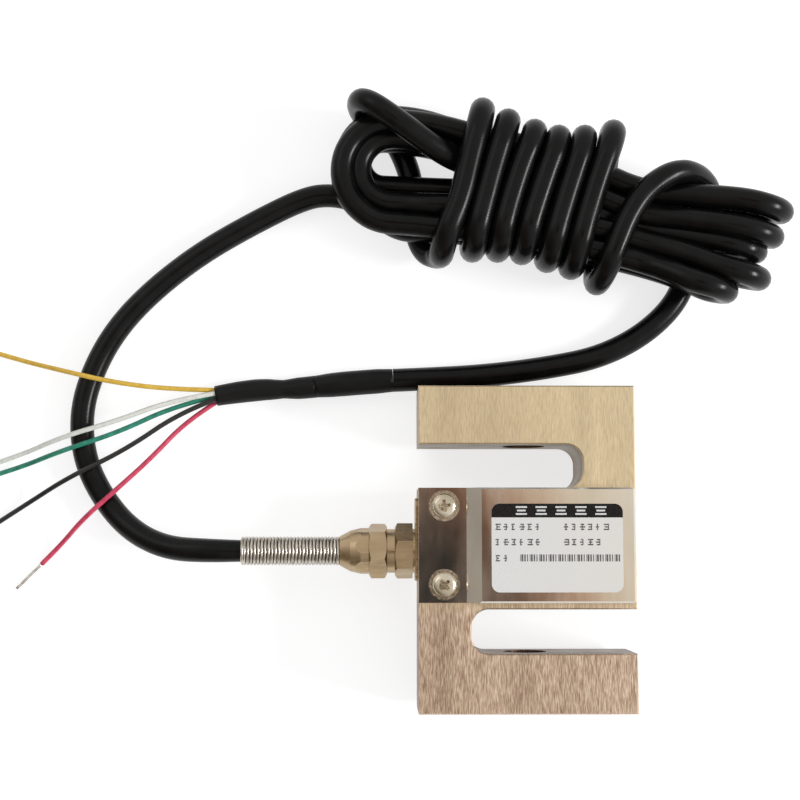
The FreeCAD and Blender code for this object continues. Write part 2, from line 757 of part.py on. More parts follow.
def inner_wires():
    """Five short wires from the cable's end to the board, and a pair of wires to the gauges."""
    board_top = value("size.rest_height + size.potting_height + size.board_thickness")
    cable_end = value("-size.block_width / 2 + size.inner_cable_end")
    axis_y = value("size.gland_offset")
    axis_z = value("size.rest_height + size.block_thickness / 2")
    pitch = value("size.lead_wire_pitch")
    spread = value("size.lead_wire_spread")
    knee_x = cable_end + value("size.lead_wire_straight")
    foot_x = cable_end + value("size.lead_wire_reach")
    foot_z = board_top + value("size.lead_wire_lift")
    leads = []
    for place in (-2, -1, 0, 1, 2):
        start = (cable_end, axis_y + pitch * place, axis_z)
        knee = (knee_x, axis_y + pitch * place, axis_z)
        foot = (foot_x, axis_y + spread * place, foot_z)
        leads.append(tube(
            [start, knee, foot], value("size.lead_wire_radius"), "inner lead", "size.wire_sides"))
    feature_from("inner_lead_wires", Part.makeCompound(leads))

    radius = value("size.gauge_wire_radius")
    pocket_x = value("size.pocket_half_spacing")
    board_x = value("size.pocket_half_spacing - size.gauge_wire_inset")
    board_y = value("size.gauge_wire_spread")
    gauge_y = value(
        "size.pocket_radius - size.fit_gap - size.gauge_thickness - size.gauge_wire_gap")
    gauge_leads = []
    for side in (-1, 1):
        for level in (-1, 1):
            start = FreeCAD.Vector(side * board_x, level * board_y, board_top + radius)
            end = FreeCAD.Vector(side * pocket_x, level * gauge_y, axis_z)
            way = end - start
            section = Part.Face(many_sided(radius, "size.wire_sides", start, way))
            gauge_leads.append(section.extrude(way))
    feature_from("gauge_wires", Part.makeCompound(gauge_leads))


# ---------------------------------------------------------------- cable

def rounded_path(points, name):
    """Straight runs joined by tangent arcs, each as large as its two runs allow."""
    places = [FreeCAD.Vector(*point) for point in points]
    edges = []
    radii = []
    start = places[0]
    for before, corner, after in zip(places, places[1:], places[2:]):
        back = before - corner
        ahead = after - corner
        half_turn = (math.pi - back.getAngle(ahead)) / 2
        reach = 0.45 * min(back.Length, ahead.Length)
        radius = reach / math.tan(half_turn)
        radii.append(radius)
        back.normalize()
        ahead.normalize()
        arc_start = corner + back * reach
        arc_end = corner + ahead * reach
        inward = (back + ahead).normalize()
        middle = corner + inward * (radius / math.cos(half_turn) - radius)
        edges.append(Part.LineSegment(start, arc_start).toShape())
        edges.append(Part.Arc(arc_start, middle, arc_end).toShape())
        start = arc_end
    edges.append(Part.LineSegment(start, places[-1]).toShape())
    print(f"{name}: bend radii " + ", ".join(f"{radius:.0f}" for radius in radii))
    return Part.Wire(edges)


def many_sided(radius, sides, centre, way):
    """A regular outline across a direction, with its corners on the circle of that radius."""
    sides = round(value(sides))
    turned = FreeCAD.Rotation(FreeCAD.Vector(0, 0, 1), way)
    corners = [
        centre + turned.multVec(FreeCAD.Vector(
            radius * math.cos(2 * math.pi * side / sides),
            radius * math.sin(2 * math.pi * side / sides), 0,
        ))
        for side in range(sides)
    ]
    return Part.makePolygon(corners + corners[:1])


def tube(points, radius, name, sides="size.cord_sides"):
    """A many-sided solid along a route, checked against its section times its length."""
    path = rounded_path(points, name)
    start = FreeCAD.Vector(*points[0])
    way = FreeCAD.Vector(*points[1]) - start
    section = many_sided(radius, sides, start, way)
    solid = path.makePipeShell([section], True, False)
    expected = Part.Face(section).Area * path.Length
    if abs(solid.Volume - expected) > 0.01 * expected:
        raise RuntimeError(f"{name}: volume {solid.Volume:.1f}, not {expected:.1f}")
    return solid


def hank_place(along, across, height):
    """A point of the hank, from its place along, across and above the hank's arc."""
    radius = value("size.hank_arc_radius")
    heading = math.radians(value("size.hank_heading"))
    angle = heading - along / radius
    centre_x = value("size.hank_x") + radius * math.sin(heading)
    centre_y = value("size.hank_y") - radius * math.cos(heading)
    reach = radius + across
    return FreeCAD.Vector(
        centre_x - reach * math.sin(angle), centre_y + reach * math.cos(angle), height
    )


def hank_section(along, low, high, bottom, top):
    """A rectangle across the hank with its corners cut off; a corner takes under half a side."""
    most = 0.45
    corner = min(value("size.hank_corner"), most * (high - low), most * (top - bottom))
    places = [
        (low, bottom + corner), (low + corner, bottom), (high - corner, bottom),
        (high, bottom + corner), (high, top - corner), (high - corner, top),
        (low + corner, top), (low, top - corner),
    ]
    corners = [hank_place(along, *place) for place in places]
    return Part.makePolygon(corners + corners[:1])


def hank_solid():
    """The outer shape of the tied hank: flat loops, the wrapped waist, then a fan of loops."""
    floor = value("size.hank_floor")
    sections = [
        (-47.6, -8.5, 8.5, 0.3, 16.0), (-43.5, -13.2, 13.2, floor, 16.0),
        (-36.0, -15.4, 15.4, floor, 16.0), (-22.5, -15.0, 15.0, floor, 18.0),
        (-20.5, -18.6, 18.4, floor, 20.9), (20.0, -19.4, 18.4, floor, 20.9),
        (23.5, -15.0, 15.5, floor, 20.9), (42.0, -14.0, 16.5, floor, 21.0),
        (58.0, -14.5, 14.5, floor, 21.0), (66.0, -8.0, 12.0, 1.5, 19.5),
        (70.5, 1.5, 9.5, 4.0, 17.0),
    ]
    wires = [hank_section(*section) for section in sections]
    bundle = Part.makeLoft(wires, True, True)
    # One turn stands clear of the others at the upper left.
    lobe_foot = hank_place(-22.0, 9.0, floor)
    lobe_tip = hank_place(-39.5, 19.2, floor)
    lobe_radius = value("size.cable_radius + size.hank_lobe_gap")
    lobe = upright_slab(lobe_foot, lobe_tip, lobe_radius, value("size.hank_lobe_height"))
    return bundle.fuse(lobe).removeSplitter()


def upright_slab(start, end, radius, height):
    """A flat ended slab with one round end, standing on the floor."""
    way = (end - start).normalize()
    aside = FreeCAD.Vector(-way.y, way.x, 0) * radius
    edges = [
        Part.LineSegment(start - aside, end - aside).toShape(),
        Part.Arc(end - aside, end + way * radius, end + aside).toShape(),
        Part.LineSegment(end + aside, start + aside).toShape(),
        Part.LineSegment(start + aside, start - aside).toShape(),
    ]
    return Part.Face(Part.Wire(edges)).extrude(FreeCAD.Vector(0, 0, height - start.z))


def cable():
    radius = value("size.cable_radius")
    hank = hank_solid()
    feature_from("cable_hank", hank)
    feature_from("cable_lead", tube(LEAD_ROUTE, radius, "cable_lead").cut(hank))
    feature_from("cable_tail", tube(TAIL_ROUTE, radius, "cable_tail").cut(hank))
    outer = value("size.sleeve_outer_radius")
    inner = value("size.sleeve_inner_radius")
    feature_from("heat_shrink_outer", tube(SLEEVE_OUTER_ROUTE, outer, "heat_shrink_outer"))
    sleeve = tube(SLEEVE_INNER_ROUTE, inner, "heat_shrink_inner")
    feature_from("heat_shrink_inner", sleeve)
    return sleeve


def wires(sleeve):
    """The wires start inside the sleeve's end, so each is cut off at its face."""
    radius = value("size.wire_radius")
    strand = value("size.strand_radius")
    length = value("size.strand_length")
    for colour, route in WIRE_ROUTES.items():
        rod = tube(route, radius, f"{colour}_wire", "size.wire_sides")
        feature_from(f"{colour}_wire", rod.cut(sleeve))
        end = FreeCAD.Vector(*route[-1])
        way = (end - FreeCAD.Vector(*route[-2])).normalize() * length
        tip = Part.Face(many_sided(strand, "size.wire_sides", end, way)).extrude(way)
        feature_from(f"{colour}_wire_tip", tip)


def build():
    s_beam_body()
    covers()
    front_label()
    cable_entry_plate()
    gland_body()
    gland_nut()
    ring(
        "gland_seal", "size.seal_start", "size.gland_thread_end",
        "size.seal_radius - size.seal_gap",
    )
    ring(
        "gland_clamp_washer", "size.gland_thread_end", "size.clamp_washer_end",
        "size.gland_thread_radius",
    )
    strain_relief_spring()
    cable_in_gland()
    for side, side_name in ((-1, "left"), (1, "right")):
        for above, level in ((True, "upper"), (False, "lower")):
            strain_gauge(f"strain_gauge_{level}_{side_name}", side, above)
    silicone_potting()
    terminal_board()
    inner_wires()
    wires(cable())
    doc.recompute()


def export():
    """Write each piece to its own file, after every object has been checked."""
    for item in doc.Objects:
        if "Invalid" in item.State or "Error" in item.State:
            raise RuntimeError(f"{item.Label} failed: {item.State}")
    os.makedirs("parts", exist_ok=True)
    for piece in finished:
        if piece.Shape.isNull() or not piece.Shape.isValid() or not piece.Shape.Solids:
            raise RuntimeError(f"{piece.Label} has no valid solid")
        piece.Shape.exportStep(f"parts/{piece.Label}.step")
    print(f"{len(finished)} pieces")


build()
export()
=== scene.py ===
"""S type load cell with its cable tied in a hank, lying on its back.

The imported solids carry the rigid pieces. This script gives them their finishes and makes the
screws, the label with its print, the coil spring, and the cable with its sleeves and wires.
Lengths are in metres.
"""

import math

import bmesh
import bpy
from mathutils import Matrix, Vector


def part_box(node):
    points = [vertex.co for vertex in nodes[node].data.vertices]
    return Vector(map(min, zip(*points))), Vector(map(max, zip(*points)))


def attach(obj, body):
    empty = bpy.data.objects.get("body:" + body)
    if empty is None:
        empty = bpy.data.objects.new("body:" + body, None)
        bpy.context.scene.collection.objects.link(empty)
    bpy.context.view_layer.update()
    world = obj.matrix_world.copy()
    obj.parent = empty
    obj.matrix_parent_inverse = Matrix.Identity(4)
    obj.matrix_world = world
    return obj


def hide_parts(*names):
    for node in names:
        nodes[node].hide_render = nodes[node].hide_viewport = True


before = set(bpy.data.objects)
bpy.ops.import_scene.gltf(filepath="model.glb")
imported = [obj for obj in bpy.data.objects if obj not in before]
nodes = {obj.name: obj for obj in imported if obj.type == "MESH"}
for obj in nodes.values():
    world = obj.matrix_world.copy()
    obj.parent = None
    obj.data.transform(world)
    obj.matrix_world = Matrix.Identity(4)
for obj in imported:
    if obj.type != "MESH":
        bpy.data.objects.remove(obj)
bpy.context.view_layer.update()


# ------------------------------------------------------------------ S block
# One bar of alloy steel, milled to an S and ground along its length, then nickel plated.
# The grinding leaves fine streaks along Y, with more contrast on the lower arm. The lower arm
# is also painted darker and pinker, as painted shade; the sides are painted dark, as painted
# shade.

def new_finish(name, roughness, metallic=0.0, specular=0.5):
    """A material, its node tree and its shader, ready for the finish's own nodes."""
    finish = bpy.data.materials.new(name)
    finish.use_nodes = True
    shader = finish.node_tree.nodes["Principled BSDF"]
    shader.inputs["Roughness"].default_value = roughness
    shader.inputs["Metallic"].default_value = metallic
    shader.inputs["Specular IOR Level"].default_value = specular
    return finish, finish.node_tree, shader


def add_node(tree, kind, **settings):
    """One node; settings name its properties, or its inputs where it has no such property."""
    node = tree.nodes.new(kind)
    for name, setting in settings.items():
        if hasattr(node, name):
            setattr(node, name, setting)
        else:
            node.inputs[name.replace("_", " ")].default_value = setting
    return node


def object_point(tree, stretch=(1.0, 1.0, 1.0)):
    """Object coordinates, stretched along the axes so that a pattern becomes streaks."""
    place = add_node(tree, "ShaderNodeTexCoord")
    mapping = add_node(tree, "ShaderNodeMapping", Scale=stretch)
    tree.links.new(place.outputs["Object"], mapping.inputs["Vector"])
    return mapping.outputs["Vector"]


def colour_steps(tree, source, steps):
    """A colour ramp through (position, colour) steps."""
    ramp = add_node(tree, "ShaderNodeValToRGB")
    elements = ramp.color_ramp.elements
    for element, (position, colour) in zip(elements, (steps[0], steps[-1])):
        element.position = position
        element.color = (*colour, 1.0)
    for position, colour in steps[1:-1]:
        elements.new(position).color = (*colour, 1.0)
    tree.links.new(source, ramp.inputs["Fac"])
    return ramp.outputs["Color"]


def number_range(tree, source, low, high, from_low=0.0, from_high=1.0):
    """A 0 to 1 pattern spread over another range of numbers."""
    spread = add_node(tree, "ShaderNodeMapRange")
    spread.inputs["From Min"].default_value = from_low
    spread.inputs["From Max"].default_value = from_high
    spread.inputs["To Min"].default_value = low
    spread.inputs["To Max"].default_value = high
    tree.links.new(source, spread.inputs["Value"])
    return spread.outputs["Result"]


def noise_pattern(tree, scale, detail, stretch=(1.0, 1.0, 1.0)):
    """An uneven pattern, 0 to 1, that sits still on the object."""
    noise = add_node(tree, "ShaderNodeTexNoise", Scale=scale, Detail=detail)
    tree.links.new(object_point(tree, stretch), noise.inputs["Vector"])
    return noise.outputs["Fac"]


def bump(tree, shader, height, distance, strength):
    """A shallow relief, as deep as the distance where the pattern is at its highest."""
    relief = add_node(tree, "ShaderNodeBump", Strength=strength, Distance=distance)
    tree.links.new(height, relief.inputs["Height"])
    tree.links.new(relief.outputs["Normal"], shader.inputs["Normal"])


def make_grain_group():
    """Fine streaks and slow clouds that most of the metal finishes share."""
    group = bpy.data.node_groups.new("ground_grain", "ShaderNodeTree")
    for name in ("Fine", "Coarse", "Clouds"):
        group.interface.new_socket(name=name, in_out="OUTPUT", socket_type="NodeSocketFloat")
    point = group.interface.new_socket(
        name="Point", in_out="INPUT", socket_type="NodeSocketVector")
    point.default_value = (0.0, 0.0, 0.0)
    entry = group.nodes.new("NodeGroupInput")
    leave = group.nodes.new("NodeGroupOutput")
    for name, scale, detail in (("Fine", 5200.0, 3.0), ("Coarse", 1700.0, 2.0),
                                ("Clouds", 130.0, 3.0)):
        noise = add_node(group, "ShaderNodeTexNoise", Scale=scale, Detail=detail)
        group.links.new(entry.outputs["Point"], noise.inputs["Vector"])
        group.links.new(noise.outputs["Fac"], leave.inputs[name])
    return group


grain_group = make_grain_group()


def grain(tree, stretch):
    """The shared grain placed in a finish, drawn out along the direction of the streaks."""
    node = tree.nodes.new("ShaderNodeGroup")
    node.node_tree = grain_group
    tree.links.new(object_point(tree, stretch), node.inputs["Point"])
    return node.outputs


def mix_colours(tree, share, first, second, blend="MIX"):
    """Two colours mixed; each may be a socket or a plain colour."""
    mix = add_node(tree, "ShaderNodeMix", data_type="RGBA", blend_type=blend)
    for index, colour in ((6, first), (7, second)):
        if isinstance(colour, tuple):
            mix.inputs[index].default_value = (*colour, 1.0)
        else:
            tree.links.new(colour, mix.inputs[index])
    if isinstance(share, float):
        mix.inputs[0].default_value = share
    else:
        tree.links.new(share, mix.inputs[0])
    return mix.outputs[2]


def height_along(tree, axis, low, high):
    """0 to 1 from one place to another along an axis of the object."""
    split = add_node(tree, "ShaderNodeSeparateXYZ")
    tree.links.new(object_point(tree), split.inputs["Vector"])
    return number_range(tree, split.outputs[axis], 0.0, 1.0, low, high)


# Between these two heights along Y the lower arm turns darker and pinker: painted shade. Only
# the front face and the skin just under it keep the plated colour; the sides below it are
# painted dark, as painted shade and dark reflection.
ARM_SHADE_FROM = -0.010
ARM_SHADE_FULL = -0.016
UNSHADED_TOP_FROM = 0.0010
UNSHADED_TOP_FULL = 0.0002


def nickel_steel():
    finish, tree, shader = new_finish("nickel_steel", roughness=0.36, metallic=1.0)
    streaks = grain(tree, (1.0, 0.09, 1.0))
    light = colour_steps(tree, streaks["Fine"], [
        (0.30, (0.660, 0.530, 0.345)), (0.50, (0.775, 0.630, 0.410)),
        (0.70, (0.860, 0.725, 0.500)),
    ])
    shaded_pinkish = colour_steps(tree, streaks["Fine"], [
        (0.32, (0.370, 0.250, 0.180)), (0.50, (0.630, 0.465, 0.345)),
        (0.66, (0.900, 0.735, 0.585)),
    ])
    # The lower arm's darker, pinker tint is painted shade.
    lower_arm_shade = height_along(tree, "Y", ARM_SHADE_FROM, ARM_SHADE_FULL)
    colour = mix_colours(tree, lower_arm_shade, light, shaded_pinkish)
    clouds = colour_steps(tree, streaks["Clouds"], [
        (0.35, (0.92, 0.92, 0.92)), (0.65, (1.0, 1.0, 1.0)),
    ])
    colour = mix_colours(tree, 1.0, colour, clouds, "MULTIPLY")
    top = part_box("s_beam_body")[1][2]
    # Painted shade and dark reflection on every side below the front face; only the top keeps its
    # colour.
    painted_wall_shade = mix_colours(tree, 1.0, colour, (0.22, 0.18, 0.145), "MULTIPLY")
    unshaded_top = height_along(tree, "Z", top - UNSHADED_TOP_FROM, top - UNSHADED_TOP_FULL)
    tree.links.new(mix_colours(tree, unshaded_top, painted_wall_shade, colour), shader.inputs["Base Color"])
    tree.links.new(
        number_range(tree, streaks["Clouds"], 0.32, 0.44, 0.3, 0.7), shader.inputs["Roughness"])
    bump(tree, shader, streaks["Fine"], 0.00001, 0.3)
    return finish


def dress_nodes(finish, *names):
    """Give carried-over CAD pieces their finish."""
    for name in names:
        for slot in nodes[name].material_slots:
            slot.material = finish


dress_nodes(nickel_steel(), "s_beam_body")


# ------------------------------------------------------------------ gauges and terminal board
# Four foil gauges sit bonded in the round ends of the pocket, wired to a small green board.
# Poured silicone seals the pocket's floor under the board.

def gauge_foil():
    finish, tree, shader = new_finish("gauge_foil", roughness=0.35, metallic=0.9)
    loops = add_node(tree, "ShaderNodeTexWave", Scale=900.0, Distortion=0.0)
    loops.bands_direction = "Z"
    tree.links.new(object_point(tree), loops.inputs["Vector"])
    foil = colour_steps(tree, loops.outputs["Fac"], [
        (0.35, (0.42, 0.23, 0.06)), (0.55, (0.80, 0.56, 0.28)),
    ])
    tree.links.new(foil, shader.inputs["Base Color"])
    return finish


def mottled(name, dark, pale, roughness, scale=400.0, relief=0.00003):
    """A moulded or poured finish: a slow change of colour and a fine uneven surface."""
    finish, tree, shader = new_finish(name, roughness=roughness)
    pattern = noise_pattern(tree, scale, 3.0)
    colour = colour_steps(tree, pattern, [(0.3, dark), (0.7, pale)])
    tree.links.new(colour, shader.inputs["Base Color"])
    tree.links.new(
        number_range(tree, pattern, roughness - 0.06, roughness + 0.08, 0.3, 0.7),
        shader.inputs["Roughness"])
    bump(tree, shader, pattern, relief, 0.5)
    return finish


dress_nodes(
    gauge_foil(), "strain_gauge_upper_left", "strain_gauge_lower_left",
    "strain_gauge_upper_right", "strain_gauge_lower_right",
)
dress_nodes(
    mottled("silicone", (0.70, 0.70, 0.67), (0.84, 0.84, 0.81), 0.4), "silicone_potting")
dress_nodes(
    mottled("board_laminate", (0.02, 0.16, 0.06), (0.05, 0.26, 0.10), 0.35), "terminal_board")
dress_nodes(
    mottled("inner_wire", (0.45, 0.05, 0.03), (0.62, 0.09, 0.06), 0.4),
    "inner_lead_wires", "gauge_wires",
)


# ------------------------------------------------------------------ covers
# Two pressed steel covers, flush under the screws and joggled up to a raised tray.
# They are polished like a mirror, with only the faintest clouding and hairline scratches.

def polished_sheet():
    finish, tree, shader = new_finish("polished_sheet", roughness=0.10, metallic=1.0)
    streaks = grain(tree, (1.0, 0.35, 1.0))
    sheen = colour_steps(tree, streaks["Clouds"], [
        (0.35, (0.60, 0.56, 0.50)), (0.65, (0.72, 0.68, 0.61)),
    ])
    tree.links.new(sheen, shader.inputs["Base Color"])
    tree.links.new(
        number_range(tree, streaks["Clouds"], 0.06, 0.16, 0.35, 0.75),
        shader.inputs["Roughness"])
    bump(tree, shader, streaks["Clouds"], 0.00006, 0.25)
    return finish


dress_nodes(polished_sheet(), "front_cover", "back_cover")


# ------------------------------------------------------------------ cover screws and washers
# Small pan head screws with a cross recess, nickel plated, each on a flat washer.

def bright_plating():
    finish, tree, shader = new_finish("bright_plating", roughness=0.2, metallic=1.0)
    streaks = grain(tree, (1.0, 1.0, 0.4))
    plating = colour_steps(tree, streaks["Clouds"], [
        (0.35, (0.44, 0.375, 0.275)), (0.65, (0.70, 0.625, 0.505)),
    ])
    tree.links.new(plating, shader.inputs["Base Color"])
    tree.links.new(
        number_range(tree, streaks["Coarse"], 0.14, 0.30, 0.3, 0.7), shader.inputs["Roughness"])
    return finish


SHANK_RADIUS = 0.0012
SHANK_LENGTH = 0.0055
SHANK_BEVEL = (0.0002, 0.0003)
HEAD_RADIUS = 0.00285
HEAD_HEIGHT = 0.0018
HEAD_EDGE = 0.0001
HEAD_CROWN = [
    (HEAD_RADIUS, 0.00075), (0.00272, 0.00112), (0.00240, 0.00142), (0.00190, 0.00163),
    (0.00110, 0.00176),
]
HEAD_SIDES = 48
RECESS_REACH = 0.0019
RECESS_WIDTH = 0.00095
RECESS_DEPTH = 0.0013
RECESS_OVERRUN = 0.001
RECESS_TAPER = 0.45
SHARP_ANGLE = math.radians(32)


def pan_head(shape):
    """A pan head with its shank, turned from half a section that ends on the axis."""
    section = [
        (0.0, -SHANK_LENGTH), (SHANK_RADIUS - SHANK_BEVEL[0], -SHANK_LENGTH),
        (SHANK_RADIUS, SHANK_BEVEL[1] - SHANK_LENGTH), (SHANK_RADIUS, 0.0),
        (HEAD_RADIUS - HEAD_EDGE, 0.0), (HEAD_RADIUS, HEAD_EDGE), *HEAD_CROWN,
        (0.0, HEAD_HEIGHT),
    ]
    points = [shape.verts.new((reach, 0.0, level)) for reach, level in section]
    edges = [shape.edges.new(pair) for pair in zip(points, points[1:])]
    bmesh.ops.spin(
        shape, geom=points + edges, cent=(0, 0, 0), axis=(0, 0, 1), angle=math.tau,
        steps=HEAD_SIDES, use_merge=True,
    )
    bmesh.ops.remove_doubles(shape, verts=shape.verts, dist=0.000001)
    bmesh.ops.recalc_face_normals(shape, faces=shape.faces)


def cross_recess(shape):
    """The driver's cross: two tapered blades that narrow toward the recess's floor."""
    for turn in (0.0, 90.0):
        blade = bmesh.ops.create_cube(
            shape, size=1.0,
            matrix=Matrix.Rotation(math.radians(turn), 4, "Z")
            @ Matrix.Translation((0, 0, HEAD_HEIGHT + RECESS_OVERRUN / 2 - RECESS_DEPTH / 2))
            @ Matrix.Diagonal(
                (2 * RECESS_REACH, RECESS_WIDTH, RECESS_DEPTH + RECESS_OVERRUN, 1.0)))
        for vertex in blade["verts"]:
            if vertex.co.z < HEAD_HEIGHT - RECESS_DEPTH / 2:
                vertex.co.x *= RECESS_TAPER
                vertex.co.y *= RECESS_TAPER
    bmesh.ops.recalc_face_normals(shape, faces=shape.faces)


def bare_mesh(name, mesh_maker):
    """A mesh made by a function that fills an empty bmesh."""
    shape = bmesh.new()
    mesh_maker(shape)
    mesh = bpy.data.meshes.new(name)
    shape.to_mesh(mesh)
    shape.free()
    return mesh


def screw_mesh():
    """One screw standing at the origin: the turned blank with the cross cut into its head."""
    blank = bpy.data.objects.new("screw_blank", bare_mesh("screw_blank", pan_head))
    driver = bpy.data.objects.new("driver", bare_mesh("driver", cross_recess))
    for helper in (blank, driver):
        bpy.context.scene.collection.objects.link(helper)
    cut = blank.modifiers.new("recess", "BOOLEAN")
    cut.operation = "DIFFERENCE"
    cut.solver = "EXACT"
    cut.use_self = True
    cut.object = driver
    bpy.context.view_layer.update()
    ready = blank.evaluated_get(bpy.context.evaluated_depsgraph_get())
    mesh = bpy.data.meshes.new_from_object(ready)
    bpy.data.objects.remove(blank)
    bpy.data.objects.remove(driver)
    return mesh


screw_plating = bright_plating()
dress_nodes(
    screw_plating,
    "front_washer_upper", "front_washer_lower", "back_washer_upper", "back_washer_lower",
)
screw_shape = screw_mesh()
# how far each screw was turned, in degrees, when it was tight
SCREW_TURNS = {
    "front_cover_screw_upper": 6.0, "front_cover_screw_lower": 42.0,
    "back_cover_screw_upper": 20.0, "back_cover_screw_lower": 71.0,
}
for node_name, turn in SCREW_TURNS.items():
    low, high = (Vector(corner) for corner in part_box(node_name))
    on_front = node_name.startswith("front")
    seat = high.z - HEAD_HEIGHT if on_front else low.z + HEAD_HEIGHT
    mesh = screw_shape.copy()
    mesh.transform(
        Matrix.Translation(((low.x + high.x) / 2, (low.y + high.y) / 2, seat))
        @ Matrix.Rotation(0.0 if on_front else math.pi, 4, "X")
        @ Matrix.Rotation(math.radians(turn), 4, "Z"))
    mesh.materials.clear()
    mesh.materials.append(screw_plating)
    for polygon in mesh.polygons:
        polygon.use_smooth = True
    mesh.set_sharp_from_angle(angle=SHARP_ANGLE)
    screw = bpy.data.objects.new(node_name.replace("cover_", "pan_"), mesh)
    bpy.context.scene.collection.objects.link(screw)
    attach(screw, "root")
    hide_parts(node_name)


# ------------------------------------------------------------------ label
# A silver-white film stuck to the raised cover. Its print is generic: a dark band across the
# top with plain bars, rows of short dashes, and a row of upright strokes.

# The film darkens slightly between these two places along X.
SHADE_FROM = -0.010
SHADE_FULL = 0.022


def label_film():
    finish, tree, shader = new_finish("label_film", roughness=0.42)
    pattern = noise_pattern(tree, 5200.0, 2.0)
    speckle = colour_steps(tree, pattern, [
        (0.30, (0.63, 0.62, 0.61)), (0.65, (0.74, 0.73, 0.715)),
    ])
    shade = height_along(tree, "X", SHADE_FROM, SHADE_FULL)
    film = mix_colours(tree, shade, speckle, (0.68, 0.66, 0.62))
    tree.links.new(film, shader.inputs["Base Color"])
    bump(tree, shader, pattern, 0.00001, 0.4)
    return finish


def printed_ink(name, dark, pale):
    finish, tree, shader = new_finish(name, roughness=0.5, specular=0.12)
    ink = colour_steps(tree, noise_pattern(tree, 2600.0, 2.0), [(0.3, dark), (0.7, pale)])
    tree.links.new(ink, shader.inputs["Base Color"])
    return finish


# The film sits a millimetre lower than its solid.
LABEL_DROP = Vector((0.0, 0.0010, 0.0))
label_low, label_high = (Vector(corner) - LABEL_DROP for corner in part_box("front_label"))
label_width = label_high.x - label_low.x
label_height = label_high.y - label_low.y
label_thickness = label_high.z - label_low.z
LABEL_CORNER = 0.0019
PRINT_LIFT = 0.00002


def piece_from(name, mesh_maker, finish):
    """A finished piece: its bmesh is turned into a mesh at the origin and given its finish."""
    mesh = bare_mesh(name, mesh_maker)
    mesh.materials.append(finish)
    piece = bpy.data.objects.new(name, mesh)
    bpy.context.scene.collection.objects.link(piece)
    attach(piece, "root")
    return piece


def print_patch(shape, left, right, low, high, lift=PRINT_LIFT):
    """One flat printed patch on the label, from its left and lower edges."""
    centre = Vector(((left + right) / 2, (low + high) / 2, label_thickness + lift))
    size = Vector((right - left, high - low, 1.0))
    bmesh.ops.create_grid(
        shape, x_segments=1, y_segments=1, size=0.5,
        matrix=Matrix.Translation(label_low + centre) @ Matrix.Diagonal(size).to_4x4(),
    )


def round_corners(shape, corners):
    """The label's die-cut corners."""
    bmesh.ops.bevel(
        shape, geom=corners, offset=LABEL_CORNER, segments=8, affect="VERTICES", profile=0.5,
        material=-1,
    )


def label_sheet(shape):
    """The film itself, with its four round corners."""
    print_patch(shape, 0.0, label_width, 0.0, label_height, 0.0)
    round_corners(shape, shape.verts[:])
    solid = bmesh.ops.extrude_face_region(shape, geom=shape.faces[:])
    below = [piece for piece in solid["geom"] if isinstance(piece, bmesh.types.BMVert)]
    bmesh.ops.translate(shape, verts=below, vec=(0.0, 0.0, -label_thickness))
    bmesh.ops.recalc_face_normals(shape, faces=shape.faces)


BAND_HEIGHT = 0.0032
BAND_EDGE = 0.0001


def header_band(shape):
    """The dark band follows the label's round upper corners."""
    print_patch(shape, 0.0, label_width, label_height - BAND_HEIGHT, label_height)
    round_corners(shape, [v for v in shape.verts if v.co.y > label_high.y - BAND_EDGE])


# Each of the band's blocks is a stack of three bars, the middle one shorter.
BLOCKS = 5
BLOCK_START = 0.0056
BLOCK_PITCH = 0.0046
BLOCK_WIDTH = 0.0026
BLOCK_DEPTH = 0.0026
BAR_PITCH = 0.0008
BAR_HEIGHT = 0.0004
BAR_INSET = 0.0003


def header_bars(shape):
    """Plain pale bars stand where a title would be."""
    for block in range(BLOCKS):
        left = BLOCK_START + block * BLOCK_PITCH
        for row in range(3):
            low = label_height - BLOCK_DEPTH + row * BAR_PITCH
            inset = BAR_INSET * (row % 2)
            print_patch(
                shape, left + inset, left + BLOCK_WIDTH - inset, low, low + BAR_HEIGHT,
                2 * PRINT_LIFT)


# Each field of marks: its left edge, its lower edge and how many marks. A mark is three
# dashes crossed by a stem.
FIELDS = [
    (0.0009, 0.0143, 6), (0.0167, 0.0143, 6), (0.0009, 0.0108, 6), (0.0167, 0.0108, 5),
    (0.0009, 0.0071, 2),
]
MARK_PITCH = 0.00185
MARK_WIDTH = 0.00125
MARK_NARROWING = 0.00025
DASH_PITCH = 0.00058
DASH_HEIGHT = 0.0003
DASH_INSET = 0.00022
STEM_WIDTH = 0.0002
STEM_HEIGHT = 0.00146


def ink_rows(shape):
    """Three rows of small plain marks, like the fields of a data plate; they spell nothing."""
    for field, (start, low, marks) in enumerate(FIELDS):
        for mark in range(marks):
            left = start + mark * MARK_PITCH
            wide = MARK_WIDTH - MARK_NARROWING * ((mark + field) % 3)
            for row in range(3):
                inset = DASH_INSET * ((row + mark + field) % 2)
                dash = low + DASH_PITCH * row
                print_patch(shape, left + inset, left + wide - inset, dash, dash + DASH_HEIGHT)
            stem = left + wide * (0.2 + 0.2 * ((mark * 2 + field) % 4))
            print_patch(
                shape, stem, stem + STEM_WIDTH, low, low + STEM_HEIGHT, 1.5 * PRINT_LIFT)


STROKES_START = 0.0066
STROKES_MARGIN = 0.0006
STROKES_LOW = 0.0071
STROKES_HIGH = 0.0087
STROKE_WIDTH = 0.00012
STROKE_STEP = 0.00010
STROKE_GAP = 0.00014
STROKE_GAP_STEP = 0.00009


def stroke_row(shape):
    """A row of upright strokes of uneven width and spacing."""
    left = STROKES_START
    stroke = 0
    while left < label_width - STROKES_MARGIN:
        width = STROKE_WIDTH + STROKE_STEP * ((stroke * 7) % 4)
        print_patch(shape, left, left + width, STROKES_LOW, STROKES_HIGH)
        left += width + STROKE_GAP + STROKE_GAP_STEP * ((stroke * 5) % 4)
        stroke += 1


